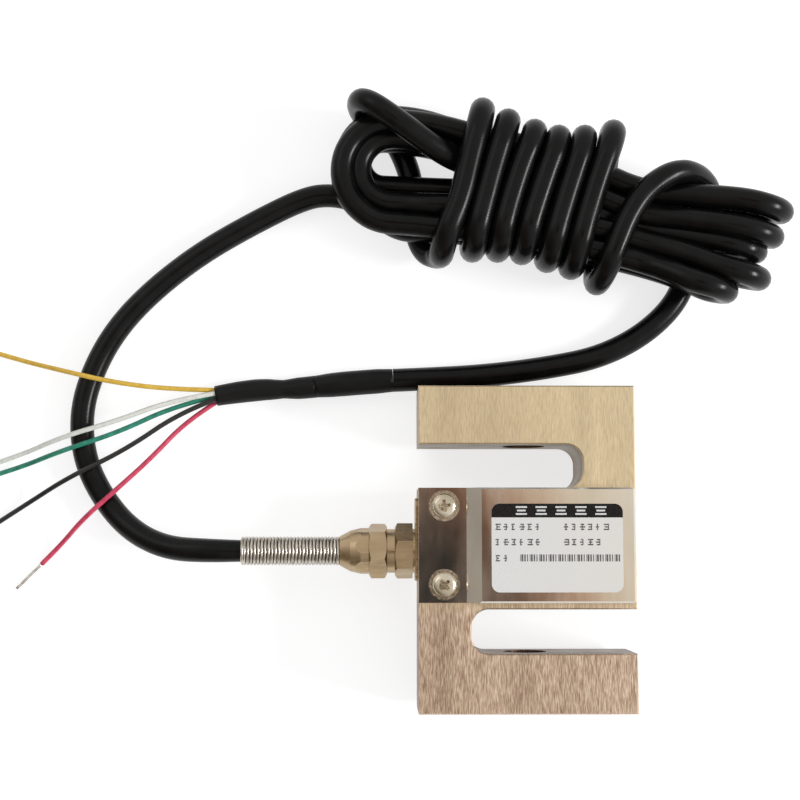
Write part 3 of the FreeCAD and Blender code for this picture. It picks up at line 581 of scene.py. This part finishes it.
label = piece_from("label_sheet", label_sheet, label_film())
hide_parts("front_label")
black_ink = printed_ink("black_ink", (0.006, 0.005, 0.005), (0.018, 0.015, 0.014))
grey_ink = printed_ink("grey_ink", (0.07, 0.065, 0.065), (0.16, 0.15, 0.15))
pale_ink = printed_ink("pale_ink", (0.58, 0.58, 0.58), (0.70, 0.70, 0.70))
piece_from("label_band", header_band, black_ink)
piece_from("label_band_bars", header_bars, pale_ink)
piece_from("label_rows", ink_rows, grey_ink)
piece_from("label_strokes", stroke_row, grey_ink)


# ------------------------------------------------------------------ cable entry and gland
# A thin plate on the block's side, and a turned gland screwed through it: a hexagon body and
# a hexagon nut with a nose. All are brass with a warm, worn nickel plating.

def nickel_brass():
    finish, tree, shader = new_finish("nickel_brass", roughness=0.3, metallic=1.0)
    streaks = grain(tree, (0.25, 1.0, 1.0))
    plating = colour_steps(tree, streaks["Clouds"], [
        (0.30, (0.33, 0.235, 0.140)), (0.55, (0.47, 0.355, 0.220)), (0.75, (0.64, 0.515, 0.350)),
    ])
    tree.links.new(plating, shader.inputs["Base Color"])
    tree.links.new(
        number_range(tree, streaks["Coarse"], 0.24, 0.38, 0.3, 0.7), shader.inputs["Roughness"])
    bump(tree, shader, streaks["Fine"], 0.00002, 0.2)
    return finish


dress_nodes(
    nickel_brass(), "cable_entry_plate", "gland_body", "gland_nut", "gland_clamp_washer")
dress_nodes(
    mottled("seal_rubber", (0.012, 0.012, 0.013), (0.03, 0.03, 0.03), 0.6), "gland_seal")


# ------------------------------------------------------------------ strain relief spring
# A close-wound coil of drawn steel wire that is pressed into the nose and grips the cable.

SPRING_WIRE = 0.00076
SPRING_PITCH = 0.00082
SPRING_STEPS = 28
WIRE_SIDES = 8
spring_low, spring_high = (Vector(corner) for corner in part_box("strain_relief_spring"))


def coil_spring(shape):
    """The coil, with a closed turn ground square at each end."""
    axis = (spring_low + spring_high) / 2
    outer = (spring_high.z - spring_low.z) / 2
    turns = (spring_high.x - spring_low.x - SPRING_WIRE) / SPRING_PITCH
    steps = round(SPRING_STEPS * turns)

    def wound(start, angle, advance, count):
        """Wire carried round the axis, toward the cable, in a number of steps."""
        middle = Vector((start, axis.y, axis.z + outer - SPRING_WIRE / 2))
        facing = Matrix.Translation(middle) @ Matrix.Rotation(math.radians(90), 4, "X")
        ring = bmesh.ops.create_circle(
            shape, cap_ends=False, segments=WIRE_SIDES, radius=SPRING_WIRE / 2, matrix=facing)
        edges = list({edge for vertex in ring["verts"] for edge in vertex.link_edges})
        bmesh.ops.spin(
            shape, geom=ring["verts"] + edges, cent=axis, axis=(1.0, 0.0, 0.0),
            dvec=(-advance / count, 0.0, 0.0), angle=angle, steps=count,
            use_merge=advance == 0.0, use_duplicate=False)

    wound(spring_high.x - SPRING_WIRE / 2, turns * math.tau, turns * SPRING_PITCH, steps)
    for end in (spring_high.x - SPRING_WIRE / 2, spring_low.x + SPRING_WIRE / 2):
        wound(end, math.tau, 0.0, SPRING_STEPS)
    bmesh.ops.holes_fill(shape, edges=[e for e in shape.edges if e.is_boundary])
    bmesh.ops.recalc_face_normals(shape, faces=shape.faces)
    for face in shape.faces:
        face.smooth = True


def spring_wire():
    finish, tree, shader = new_finish("spring_wire", roughness=0.28, metallic=1.0)
    streaks = grain(tree, (1.0, 0.3, 0.3))
    drawn = colour_steps(tree, streaks["Coarse"], [
        (0.30, (0.36, 0.325, 0.28)), (0.70, (0.68, 0.635, 0.57)),
    ])
    tree.links.new(drawn, shader.inputs["Base Color"])
    return finish


spring = piece_from("coil_spring", coil_spring, spring_wire())
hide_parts("strain_relief_spring")


# ------------------------------------------------------------------ cable
# Two metres of round black cable in a soft glossy sheath. It leaves the spring, loops round
# to the hank, runs out and back five times, ties seven wraps round its own waist and comes
# out to the sleeves.

CABLE_DIAMETER = 0.0058
# The spring's mouth squeezes the cable, and the close wraps press it a little wider.
MOUTH_WIDTH = 0.895
PRESSED_WIDTH = 1.07
# Heights of the cable's middle line on the floor and inside the sleeves.
FLOOR_LEVEL = 0.00295
SLEEVE_LEVEL = 0.00312

LEAD_ROUTE = [
    (-0.06739, -0.0006, 0.012325), (-0.0756, -0.0006, 0.012325), (-0.0860, 0.0001, 0.0093),
    (-0.0951, 0.0045, 0.0053), (-0.1022, 0.0123, FLOOR_LEVEL), (-0.1070, 0.0220, FLOOR_LEVEL),
    (-0.1080, 0.0339, FLOOR_LEVEL), (-0.1045, 0.0454, FLOOR_LEVEL),
    (-0.0986, 0.0554, FLOOR_LEVEL), (-0.0900, 0.0644, FLOOR_LEVEL),
    (-0.0788, 0.0732, FLOOR_LEVEL), (-0.0662, 0.0806, FLOOR_LEVEL),
    (-0.0532, 0.0872, FLOOR_LEVEL),
]
TAIL_ROUTE = [
    (0.0424, 0.0690, FLOOR_LEVEL), (0.0392, 0.0606, FLOOR_LEVEL), (0.0308, 0.0526, FLOOR_LEVEL),
    (0.0196, 0.0470, FLOOR_LEVEL), (0.0064, 0.0444, FLOOR_LEVEL),
    (-0.0066, 0.0427, FLOOR_LEVEL), (-0.0192, 0.0418, SLEEVE_LEVEL),
    (-0.0312, 0.0413, SLEEVE_LEVEL),
]

# The hank's middle line is a shallow arc; its places are along, across and above it. Its
# strands lie in two layers.
HANK_MIDDLE = 0.0867
HANK_ARC = 0.405
HANK_HEADING = math.radians(-7.6)
LOWER_LAYER = 0.0083
UPPER_LAYER = 0.0138
# Where along the hank a strand lies in the waist, fans out to the right, and is back.
WAIST_STEPS = (-0.010, 0.004, 0.019)
FAN_OUT = (0.029, 0.038, 0.046)
FAN_LONG = 0.051
FAN_BACK = (0.030, 0.0335, 0.027)
# The control points of a round fold stand on an eight-sided figure round it: how much nearer
# its sides are than its corners, and half a side as a share of the radius.
OCTAGON = math.cos(math.pi / 8)
HALF_SIDE = 0.414


def on_hank(along, across, above):
    """A place in the hank as a point in space."""
    turned = HANK_HEADING - along / HANK_ARC
    reach = HANK_ARC + across
    return (
        HANK_ARC * math.sin(HANK_HEADING) - reach * math.sin(turned),
        HANK_MIDDLE - HANK_ARC * math.cos(HANK_HEADING) + reach * math.cos(turned),
        above,
    )


def waist_run(lane, right, layer):
    """One strand under the wraps, from its lane on the left to its lane on the right."""
    shares = (0.0, 0.1, 0.7)
    return [
        (along, lane + share * (right - lane), layer)
        for along, share in zip(WAIST_STEPS, shares)
    ]


def right_turn(lane, tip, beneath, above, low, high, upper=UPPER_LAYER):
    """A strand that runs out to the right, folds at its tip and comes back on top."""
    radius = (high - low) / 2
    middle = tip - radius
    places = [
        (FAN_OUT[0], lane, LOWER_LAYER), (FAN_OUT[1], lane + 0.3 * (beneath - lane), LOWER_LAYER),
        (FAN_OUT[2], lane + 0.65 * (beneath - lane), (LOWER_LAYER + low) / 2),
    ]
    if middle > FAN_LONG:
        places.append((middle - 0.0026, lane + 0.95 * (beneath - lane), low))
    for degrees in (-67.5, -22.5, 22.5, 67.5):
        swing = math.radians(degrees)
        places.append((
            middle + radius / OCTAGON * math.cos(swing),
            (beneath + above) / 2 + (above - beneath) / 2 * math.sin(swing),
            low + radius + radius / OCTAGON * math.sin(swing),
        ))
    return places + [
        (middle - 0.0032, above, high),
        ((middle + FAN_BACK[0]) / 2, lane + 0.5 * (above - lane), (upper + high) / 2),
        (FAN_BACK[1], lane + 0.15 * (above - lane), upper), (FAN_BACK[2], lane, upper),
    ]


def left_loop(upper, lower, tip, start_level, end_level):
    """A flat loop at the left end, from its upper side round its tip to its lower side."""
    radius = (upper - lower) / 2
    middle = tip + radius
    places = [(middle + HALF_SIDE * radius, upper, start_level)]
    for degrees in (112.5, 157.5, 202.5, 247.5):
        swing = math.radians(degrees)
        share = (degrees - 112.5) / 135.0
        places.append((
            middle + radius / OCTAGON * math.cos(swing),
            (upper + lower) / 2 + radius / OCTAGON * math.sin(swing),
            start_level + (end_level - start_level) * share,
        ))
    return places + [(middle + HALF_SIDE * radius, lower, end_level)]


# Each close wrap: along and across at its lower side, along at two places on top, along and
# across at its upper side. The seventh wrap starts where they end.
WRAPS = [
    (-0.0183, 0.0175, -0.0146, -0.0133, -0.0114, 0.0191),
    (-0.0103, 0.0154, -0.0089, -0.0074, -0.0052, 0.0169),
    (-0.0039, 0.0147, -0.0029, -0.0011, 0.0013, 0.0152),
    (0.0023, 0.0145, 0.0035, 0.0053, 0.0071, 0.0146),
    (0.0089, 0.0155, 0.0100, 0.0115, 0.0131, 0.0156),
    (0.0152, 0.0163, 0.0161, 0.0174, 0.0196, 0.0183),
]
WRAPS_END = (0.0224, 0.0191)
WRAP_LOW = 0.00315
WRAP_HIGH = 0.0192
# How far each corner is cut, in the narrow waist and outside it, and where the flat parts
# above and below are pinned on either side of the middle line.
NARROW_CUT = 0.0040
WIDE_CUT = 0.0046
UNDER_CUT = 0.0044
NARROW_WAIST = 0.016
FLAT_REACH = 0.005


def close_wraps():
    """The six close wraps that tie the hank; the waist is narrowest in the middle."""
    places = []
    afters = WRAPS[1:] + [WRAPS_END]
    for (down, below, first, second, up, beyond), after in zip(WRAPS, afters):
        cut = NARROW_CUT if below < NARROW_WAIST else WIDE_CUT
        over = after[0] - up
        places += [
            (down, -below, WRAP_LOW + cut), (down + 0.0002, -below, WRAP_HIGH - cut),
            (down + 0.3 * (first - down), cut - below, WRAP_HIGH),
            (first, -FLAT_REACH, WRAP_HIGH), (second, FLAT_REACH, WRAP_HIGH),
            (up - 0.3 * (up - second), beyond - cut, WRAP_HIGH),
            (up, beyond, WRAP_HIGH - cut), (up + 0.0001, beyond, WRAP_LOW + cut),
            (up + 0.15 * over, beyond - cut, WRAP_LOW),
            (up + 0.4 * over, FLAT_REACH, WRAP_LOW), (up + 0.7 * over, -FLAT_REACH, WRAP_LOW),
            (up + 0.95 * over, UNDER_CUT - after[1], WRAP_LOW),
        ]
    return places


def hank_turns():
    """The hank from where the lead comes in to where the close wraps start."""
    places = [
        (-0.0465, -0.0022, FLOOR_LEVEL), (-0.0400, -0.0036, FLOOR_LEVEL),
        (-0.0340, -0.0076, 0.0030), (-0.0285, -0.0116, 0.0070), (-0.0205, -0.0110, LOWER_LAYER),
    ]
    # out and back along the lowest lane, then round the largest loop on top
    places += waist_run(-0.0112, -0.0119, LOWER_LAYER)
    places += right_turn(-0.0119, 0.0545, -0.0136, -0.0152, 0.0060, 0.0192)
    places += waist_run(-0.0112, -0.0119, UPPER_LAYER)[::-1]
    outer_top = [(-0.0175, 0.0131, UPPER_LAYER)]
    outer_top += left_loop(0.0142, -0.0110, -0.0438, 0.0141, 0.0136)
    outer_top += [(-0.0220, -0.0113, UPPER_LAYER)]
    places += outer_top[::-1]
    # out and back along the highest lane, then round the large loop below
    places += waist_run(0.0115, 0.0051, UPPER_LAYER)
    places += right_turn(0.0051, 0.0627, 0.0097, 0.0072, 0.0050, 0.0192)[::-1]
    places += waist_run(0.0115, 0.0051, LOWER_LAYER)[::-1]
    places += [(-0.0180, 0.0146, LOWER_LAYER)]
    places += left_loop(0.0166, -0.0066, -0.0432, 0.0085, LOWER_LAYER)
    places += [(-0.0220, -0.0066, LOWER_LAYER)]
    # the second lane, and the small loop on top
    places += waist_run(-0.0051, -0.0068, LOWER_LAYER)
    places += right_turn(-0.0068, 0.0617, -0.0079, -0.0102, 0.0048, 0.0192)
    places += waist_run(-0.0051, -0.0068, UPPER_LAYER)[::-1]
    inner_top = [(-0.0144, 0.0046, UPPER_LAYER), (-0.0186, 0.0076, 0.0137)]
    inner_top += [(-0.0232, 0.0094, 0.0130)]
    inner_top += left_loop(0.0105, -0.0058, -0.0397, 0.0124, 0.0122)
    inner_top += [(-0.0220, -0.0060, UPPER_LAYER)]
    places += inner_top[::-1]
    # the middle lane, and the small loop below
    places += waist_run(-0.0002, -0.0035, 0.0128)
    places += right_turn(-0.0035, 0.0594, -0.0014, -0.0036, 0.0048, 0.0166, 0.0110)[::-1]
    places += waist_run(0.0002, -0.0035, 0.0073)[::-1]
    inner_low = [(-0.0150, 0.0078, 0.0076), (-0.0210, 0.0100, 0.0070)]
    inner_low += left_loop(0.0112, -0.0006, -0.0397, 0.0058, 0.0064)
    inner_low += [(-0.0200, -0.0005, 0.0072)]
    places += inner_low[::-1]
    # the last lane, out from under the first wrap and over the loops, then back below
    places += waist_run(0.0051, -0.0004, LOWER_LAYER)
    places += right_turn(-0.0006, 0.0621, 0.0033, 0.0005, 0.0048, 0.0192)
    places += waist_run(0.0051, -0.0004, UPPER_LAYER)[::-1]
    places += [
        (-0.0140, 0.0049, 0.0138), (-0.0190, 0.0059, 0.0160), (-0.0250, 0.0088, 0.0190),
        (-0.0312, 0.0124, 0.0209), (-0.0364, 0.0158, 0.0211), (-0.0396, 0.0178, 0.0188),
        (-0.0406, 0.0184, 0.0132), (-0.0402, 0.0181, 0.0070), (-0.0372, 0.0156, 0.0031),
        (-0.0318, 0.0125, FLOOR_LEVEL), (-0.0289, 0.0075, FLOOR_LEVEL),
        (-0.0268, 0.0020, FLOOR_LEVEL), (-0.0258, -0.0060, FLOOR_LEVEL),
        (-0.0246, -0.0118, 0.0028), (-0.0222, -0.0163, 0.0042),
    ]
    return places


# The seventh wrap leans far over to the right before it goes down behind to the tail.
LAST_WRAP = [
    (0.0224, -0.0191, 0.0075), (0.0227, -0.0189, 0.0138), (0.0236, -0.0153, 0.0187),
    (0.0248, -0.0090, 0.0197), (0.0261, -0.0030, 0.0197), (0.0282, 0.0024, 0.0198),
    (0.0311, 0.0064, 0.0196), (0.0346, 0.0096, 0.0186), (0.0382, 0.0114, 0.0162),
    (0.0422, 0.0120, 0.0114), (0.0456, 0.0110, 0.0064), (0.0470, 0.0078, 0.0032),
    (0.0456, 0.0030, FLOOR_LEVEL), (0.0446, -0.0030, FLOOR_LEVEL),
]


def open_spline(name, route, resolution):
    """A curve with one open NURBS spline that has a route's points as its control points."""
    curve = bpy.data.curves.new(name, "CURVE")
    curve.dimensions = "3D"
    spline = curve.splines.new("NURBS")
    spline.points.add(len(route) - 1)
    for point, place in zip(spline.points, route):
        point.co = (*place, 1.0)
    spline.order_u = 3
    spline.use_endpoint_u = True
    spline.resolution_u = resolution
    curve.resolution_u = resolution
    return curve


def smooth_line(name, route, diameter, finish, resolution, sides, widths=None):
    """A round cord along its route; widths swell it here and there."""
    curve = open_spline(name, route, resolution)
    for index, width in (widths or {}).items():
        curve.splines[0].points[index].radius = width
    curve.bevel_depth = diameter / 2
    curve.bevel_resolution = sides
    curve.use_fill_caps = True
    curve.materials.append(finish)
    piece = bpy.data.objects.new(name, curve)
    bpy.context.scene.collection.objects.link(piece)
    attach(piece, "root")
    return piece


def read_line(route):
    """Points along the smooth line of a route, for the pieces that sit on it."""
    curve = open_spline("line", route, 12)
    holder = bpy.data.objects.new("line", curve)
    mesh = bpy.data.meshes.new_from_object(holder)
    line = [vertex.co.copy() for vertex in mesh.vertices]
    bpy.data.objects.remove(holder)
    bpy.data.curves.remove(curve)
    bpy.data.meshes.remove(mesh)
    return line


def cable_sheath():
    finish, tree, shader = new_finish("cable_sheath", roughness=0.26, specular=0.15)
    clouds = noise_pattern(tree, 260.0, 3.0)
    colour = colour_steps(tree, clouds, [
        (0.3, (0.0025, 0.0023, 0.0023)), (0.7, (0.0055, 0.0050, 0.0050)),
    ])
    tree.links.new(colour, shader.inputs["Base Color"])
    tree.links.new(
        number_range(tree, clouds, 0.22, 0.30, 0.3, 0.7), shader.inputs["Roughness"])
    bump(tree, shader, noise_pattern(tree, 2400.0, 2.0), 0.00002, 0.3)
    return finish


sheath = cable_sheath()
dress_nodes(sheath, "cable_in_gland")
turns, wraps = hank_turns(), close_wraps()
hank = [on_hank(*place) for place in turns + wraps + LAST_WRAP]
cable_route = LEAD_ROUTE + hank + TAIL_ROUTE
first_wrap = len(LEAD_ROUTE) + len(turns)
pressed = {first_wrap + step: PRESSED_WIDTH for step in range(len(wraps))}
cable = smooth_line(
    "cable", cable_route, CABLE_DIAMETER, sheath, resolution=8, sides=6,
    widths={0: MOUTH_WIDTH, **pressed})
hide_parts("cable_lead", "cable_hank", "cable_tail")


# ------------------------------------------------------------------ heat shrink sleeves
# Two lengths of matte black tubing shrunk one after the other over the end of the cable.

SLEEVE_OUTER_ROUTE = [
    (-0.0312, 0.0413, SLEEVE_LEVEL), (-0.0408, 0.04075, SLEEVE_LEVEL),
    (-0.0504, 0.0397, SLEEVE_LEVEL),
]
SLEEVE_INNER_ROUTE = [
    (-0.0504, 0.0397, SLEEVE_LEVEL), (-0.0568, 0.0390, SLEEVE_LEVEL),
    (-0.0660, 0.0390, 0.0028), (-0.0748, 0.0374, 0.0028),
]
SLEEVE_OUTER_RADII = (0.00285, 0.00307, 0.00307, 0.00307, 0.0030, 0.0027)
SLEEVE_INNER_RADII = (0.00275, 0.0027, 0.0023, 0.0026, 0.00275, 0.0027, 0.0025)
SLEEVE_SIDES = 28


def tube_through(shape, places, radii, sides):
    """A tube with flat ends through places that face along it, a ring at each."""
    previous = None
    for index, (place, radius) in enumerate(zip(places, radii)):
        ring = bmesh.ops.create_circle(
            shape, cap_ends=index in (0, len(places) - 1), segments=sides, radius=radius,
            matrix=place)
        edges = list({edge for vertex in ring["verts"] for edge in vertex.link_edges})
        if previous:
            bmesh.ops.bridge_loops(shape, edges=previous + edges)
        previous = edges


def round_off(shape):
    """Smooth walls and flat ends."""
    bmesh.ops.recalc_face_normals(shape, faces=shape.faces)
    for face in shape.faces:
        face.smooth = len(face.verts) == 4


def sleeve_on(route, radii):
    """A tube along a route whose radius changes from step to step, closed at both ends."""
    line = read_line(route)

    def build(shape):
        last = len(line) - 1
        places, widths = [], []
        for index, place in enumerate(line):
            ahead = line[min(index + 1, last)] - line[max(index - 1, 0)]
            facing = ahead.to_track_quat("Z", "Y").to_matrix().to_4x4()
            places.append(Matrix.Translation(place) @ facing)
            share = index / last * (len(radii) - 1)
            step = min(int(share), len(radii) - 2)
            widths.append(radii[step] + (radii[step + 1] - radii[step]) * (share - step))
        tube_through(shape, places, widths, SLEEVE_SIDES)
        round_off(shape)

    return build


def heat_shrink():
    finish, tree, shader = new_finish("heat_shrink", roughness=0.42, specular=0.16)
    wrinkles = noise_pattern(tree, 320.0, 3.0, (0.4, 1.0, 1.0))
    tubing = colour_steps(tree, wrinkles, [
        (0.3, (0.004, 0.004, 0.004)), (0.7, (0.009, 0.0085, 0.0085)),
    ])
    tree.links.new(tubing, shader.inputs["Base Color"])
    bump(tree, shader, wrinkles, 0.0003, 0.5)
    return finish


shrink_tubing = heat_shrink()
outer_sleeve = piece_from(
    "outer_sleeve", sleeve_on(SLEEVE_OUTER_ROUTE, SLEEVE_OUTER_RADII), shrink_tubing)
inner_sleeve = piece_from(
    "inner_sleeve", sleeve_on(SLEEVE_INNER_ROUTE, SLEEVE_INNER_RADII), shrink_tubing)
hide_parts("heat_shrink_outer")
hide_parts("heat_shrink_inner")


# ------------------------------------------------------------------ five wires
# Thin insulated wires fan out of the inner sleeve; each ends in bare tinned strands. With
# each wire's route stand the dark and the pale tone of its insulation.

WIRE_DIAMETER = 0.0012
WIRES = {
    "yellow": ([
        (-0.0738, 0.03875, 0.0034), (-0.0860, 0.0388, 0.0052), (-0.0994, 0.0403, 0.0068),
        (-0.1112, 0.0430, 0.0068), (-0.1252, 0.0468, 0.00065), (-0.1390, 0.0512, 0.00065),
    ], (0.60, 0.36, 0.035), (0.74, 0.48, 0.07)),
    "white": ([
        (-0.0738, 0.0381, 0.0043), (-0.0854, 0.0360, 0.0062), (-0.0986, 0.0308, 0.0071),
        (-0.1116, 0.0270, 0.0071), (-0.1240, 0.0224, 0.00065), (-0.1364, 0.0184, 0.00065),
    ], (0.62, 0.63, 0.58), (0.74, 0.75, 0.70)),
    "green": ([
        (-0.0738, 0.0377, 0.0021), (-0.0848, 0.0348, 0.0044), (-0.0982, 0.0280, 0.0069),
        (-0.1118, 0.0236, 0.0069), (-0.1240, 0.0194, 0.00065), (-0.1364, 0.0158, 0.00065),
    ], (0.008, 0.15, 0.095), (0.02, 0.27, 0.18)),
    "black": ([
        (-0.0738, 0.0369, 0.0035), (-0.0830, 0.0334, 0.0048), (-0.0962, 0.0238, 0.0070),
        (-0.1098, 0.0172, 0.0070), (-0.1210, 0.0110, 0.00065), (-0.1320, 0.0038, 0.00065),
    ], (0.003, 0.003, 0.003), (0.010, 0.009, 0.010)),
    "red": ([
        (-0.0738, 0.0366, 0.0020), (-0.0818, 0.0314, 0.0032), (-0.0902, 0.0218, 0.0058),
        (-0.0984, 0.0140, 0.0073), (-0.1062, 0.0070, 0.0073), (-0.1128, 0.0006, 0.00075),
        (-0.1172, -0.0038, 0.00075),
    ], (0.46, 0.025, 0.065), (0.66, 0.06, 0.13)),
}
STRAND_LENGTH = 0.0085
STRAND_RADIUS = 0.00014
STRAND_TWIST = 1.6
STRAND_GATHER = 0.12
STRAND_STEPS = 10
STRAND_SIDES = 6


def bare_strands(start, way):
    """Seven thin strands with a slow twist: one in the middle and six round it."""
    facing = way.normalized().to_track_quat("Z", "Y").to_matrix().to_4x4()

    def build(shape):
        for strand in range(7):
            out = 0.0 if strand == 6 else 2 * STRAND_RADIUS
            offset = Matrix.Rotation(math.radians(60 * strand), 4, "Z") @ Vector((out, 0, 0))
            places = []
            for step in range(STRAND_STEPS + 1):
                share = step / STRAND_STEPS
                twist = Matrix.Rotation(STRAND_TWIST * share, 4, "Z")
                spread = 1.0 - STRAND_GATHER * share
                place = twist @ (offset * spread) + Vector((0, 0, STRAND_LENGTH * share))
                places.append(Matrix.Translation(start) @ facing @ Matrix.Translation(place))
            tube_through(shape, places, [STRAND_RADIUS] * len(places), STRAND_SIDES)
        round_off(shape)

    return build


def tinned_strand():
    finish, tree, shader = new_finish("tinned_strand", roughness=0.32, metallic=1.0)
    streaks = grain(tree, (0.4, 0.4, 1.0))
    tin = colour_steps(tree, streaks["Coarse"], [
        (0.3, (0.50, 0.46, 0.42)), (0.7, (0.80, 0.77, 0.73)),
    ])
    tree.links.new(tin, shader.inputs["Base Color"])
    return finish


tinning = tinned_strand()
for colour, (route, dark, pale) in WIRES.items():
    insulation = mottled(f"{colour}_insulation", dark, pale, 0.34, scale=900.0, relief=0.00001)
    wire = smooth_line(f"{colour}_lead", route, WIRE_DIAMETER, insulation, resolution=12, sides=3)
    last = Vector(route[-1])
    tip = piece_from(
        f"{colour}_strands", bare_strands(last, last - Vector(route[-2])), tinning)
    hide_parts(f"{colour}_wire")
    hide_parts(f"{colour}_wire_tip")
    line = read_line(route)


# ------------------------------------------------------------------ floor, light and camera
# A white floor that glows a little, so that shadows stay faint. A long lamp stands low on the
# right and a weak window lamp high on the left; the camera looks nearly straight down. Metal
# sees a pale room with a dark patch overhead and a dim side at the lower left.

def floor_square(shape):
    bmesh.ops.create_grid(shape, x_segments=1, y_segments=1, size=3.0)


def studio_floor():
    finish, tree, shader = new_finish("floor_white", roughness=0.7, specular=0.0)
    colour = colour_steps(tree, noise_pattern(tree, 6.0, 2.0), [
        (0.3, (0.43, 0.43, 0.43)), (0.7, (0.45, 0.45, 0.45)),
    ])
    tree.links.new(colour, shader.inputs["Base Color"])
    shader.inputs["Emission Color"].default_value = (1.0, 1.0, 1.0, 1.0)
    shader.inputs["Emission Strength"].default_value = 0.72
    mesh = bare_mesh("studio_floor", floor_square)
    mesh.materials.append(finish)
    floor = bpy.data.objects.new("studio_floor", mesh)
    bpy.context.scene.collection.objects.link(floor)


OVERHEAD = Vector((-0.050, -0.085, 1.0)).normalized()
LOWER_LEFT = Vector((-0.70, -0.68, 0.10)).normalized()


def likeness(tree, direction):
    """How nearly a ray that leaves the object points in a direction: 1 where it does."""
    place = add_node(tree, "ShaderNodeTexCoord")
    toward = add_node(tree, "ShaderNodeVectorMath", operation="DOT_PRODUCT")
    tree.links.new(place.outputs["Generated"], toward.inputs[0])
    toward.inputs[1].default_value = direction
    return toward.outputs["Value"]


def room_light():
    """A pale room; only glossy rays see its dark patch overhead and its dim side."""
    world = bpy.data.worlds.new("studio")
    world.use_nodes = True
    tree = world.node_tree
    background = tree.nodes["Background"]
    near = number_range(tree, likeness(tree, OVERHEAD), 0.0, 1.0, 0.955, 1.0)
    ceiling = colour_steps(tree, near, [
        (0.0, (0.90, 0.89, 0.87)), (0.28, (1.0, 0.97, 0.90)), (0.51, (0.98, 0.87, 0.71)),
        (0.62, (0.68, 0.43, 0.30)), (0.71, (0.27, 0.14, 0.10)), (0.80, (0.05, 0.045, 0.04)),
        (1.0, (0.035, 0.037, 0.037)),
    ])
    dim = number_range(tree, likeness(tree, LOWER_LEFT), 0.0, 1.0, 0.30, 0.85)
    overhead = mix_colours(tree, dim, ceiling, (0.26, 0.22, 0.17))
    path = add_node(tree, "ShaderNodeLightPath")
    seen = mix_colours(tree, path.outputs["Is Glossy Ray"], (0.62, 0.62, 0.62), overhead)
    shown = mix_colours(tree, path.outputs["Is Camera Ray"], seen, (1.0, 1.0, 1.0))
    tree.links.new(shown, background.inputs["Color"])
    bpy.context.scene.world = world


def soft_lamp(name, place, target, size, power):
    """A rectangular lamp that faces its target."""
    lamp = bpy.data.lights.new(name, "AREA")
    lamp.shape = "RECTANGLE"
    lamp.size, lamp.size_y = size
    lamp.energy = power
    holder = bpy.data.objects.new(name, lamp)
    holder.location = place
    holder.rotation_euler = (Vector(target) - Vector(place)).to_track_quat("-Z", "Y").to_euler()
    bpy.context.scene.collection.objects.link(holder)


studio_floor()
room_light()
soft_lamp("side_lamp", (1.15, -0.12, 0.66), (0.0, 0.05, 0.0), (0.50, 0.20), 14.0)
soft_lamp("window_lamp", (-0.9, 0.7, 1.1), (0.0, 0.04, 0.0), (0.9, 0.5), 1.3)

camera_data = bpy.data.cameras.new("camera")
camera_data.sensor_width = 36.0
camera_data.lens = 68.74
camera = bpy.data.objects.new("camera", camera_data)
camera.location = (-0.03434, -0.00007, 0.37829)
camera.rotation_euler = (0.097, -0.013, 0.0)
bpy.context.scene.collection.objects.link(camera)
bpy.context.scene.camera = camera
bpy.context.scene.view_settings.view_transform = "Standard"
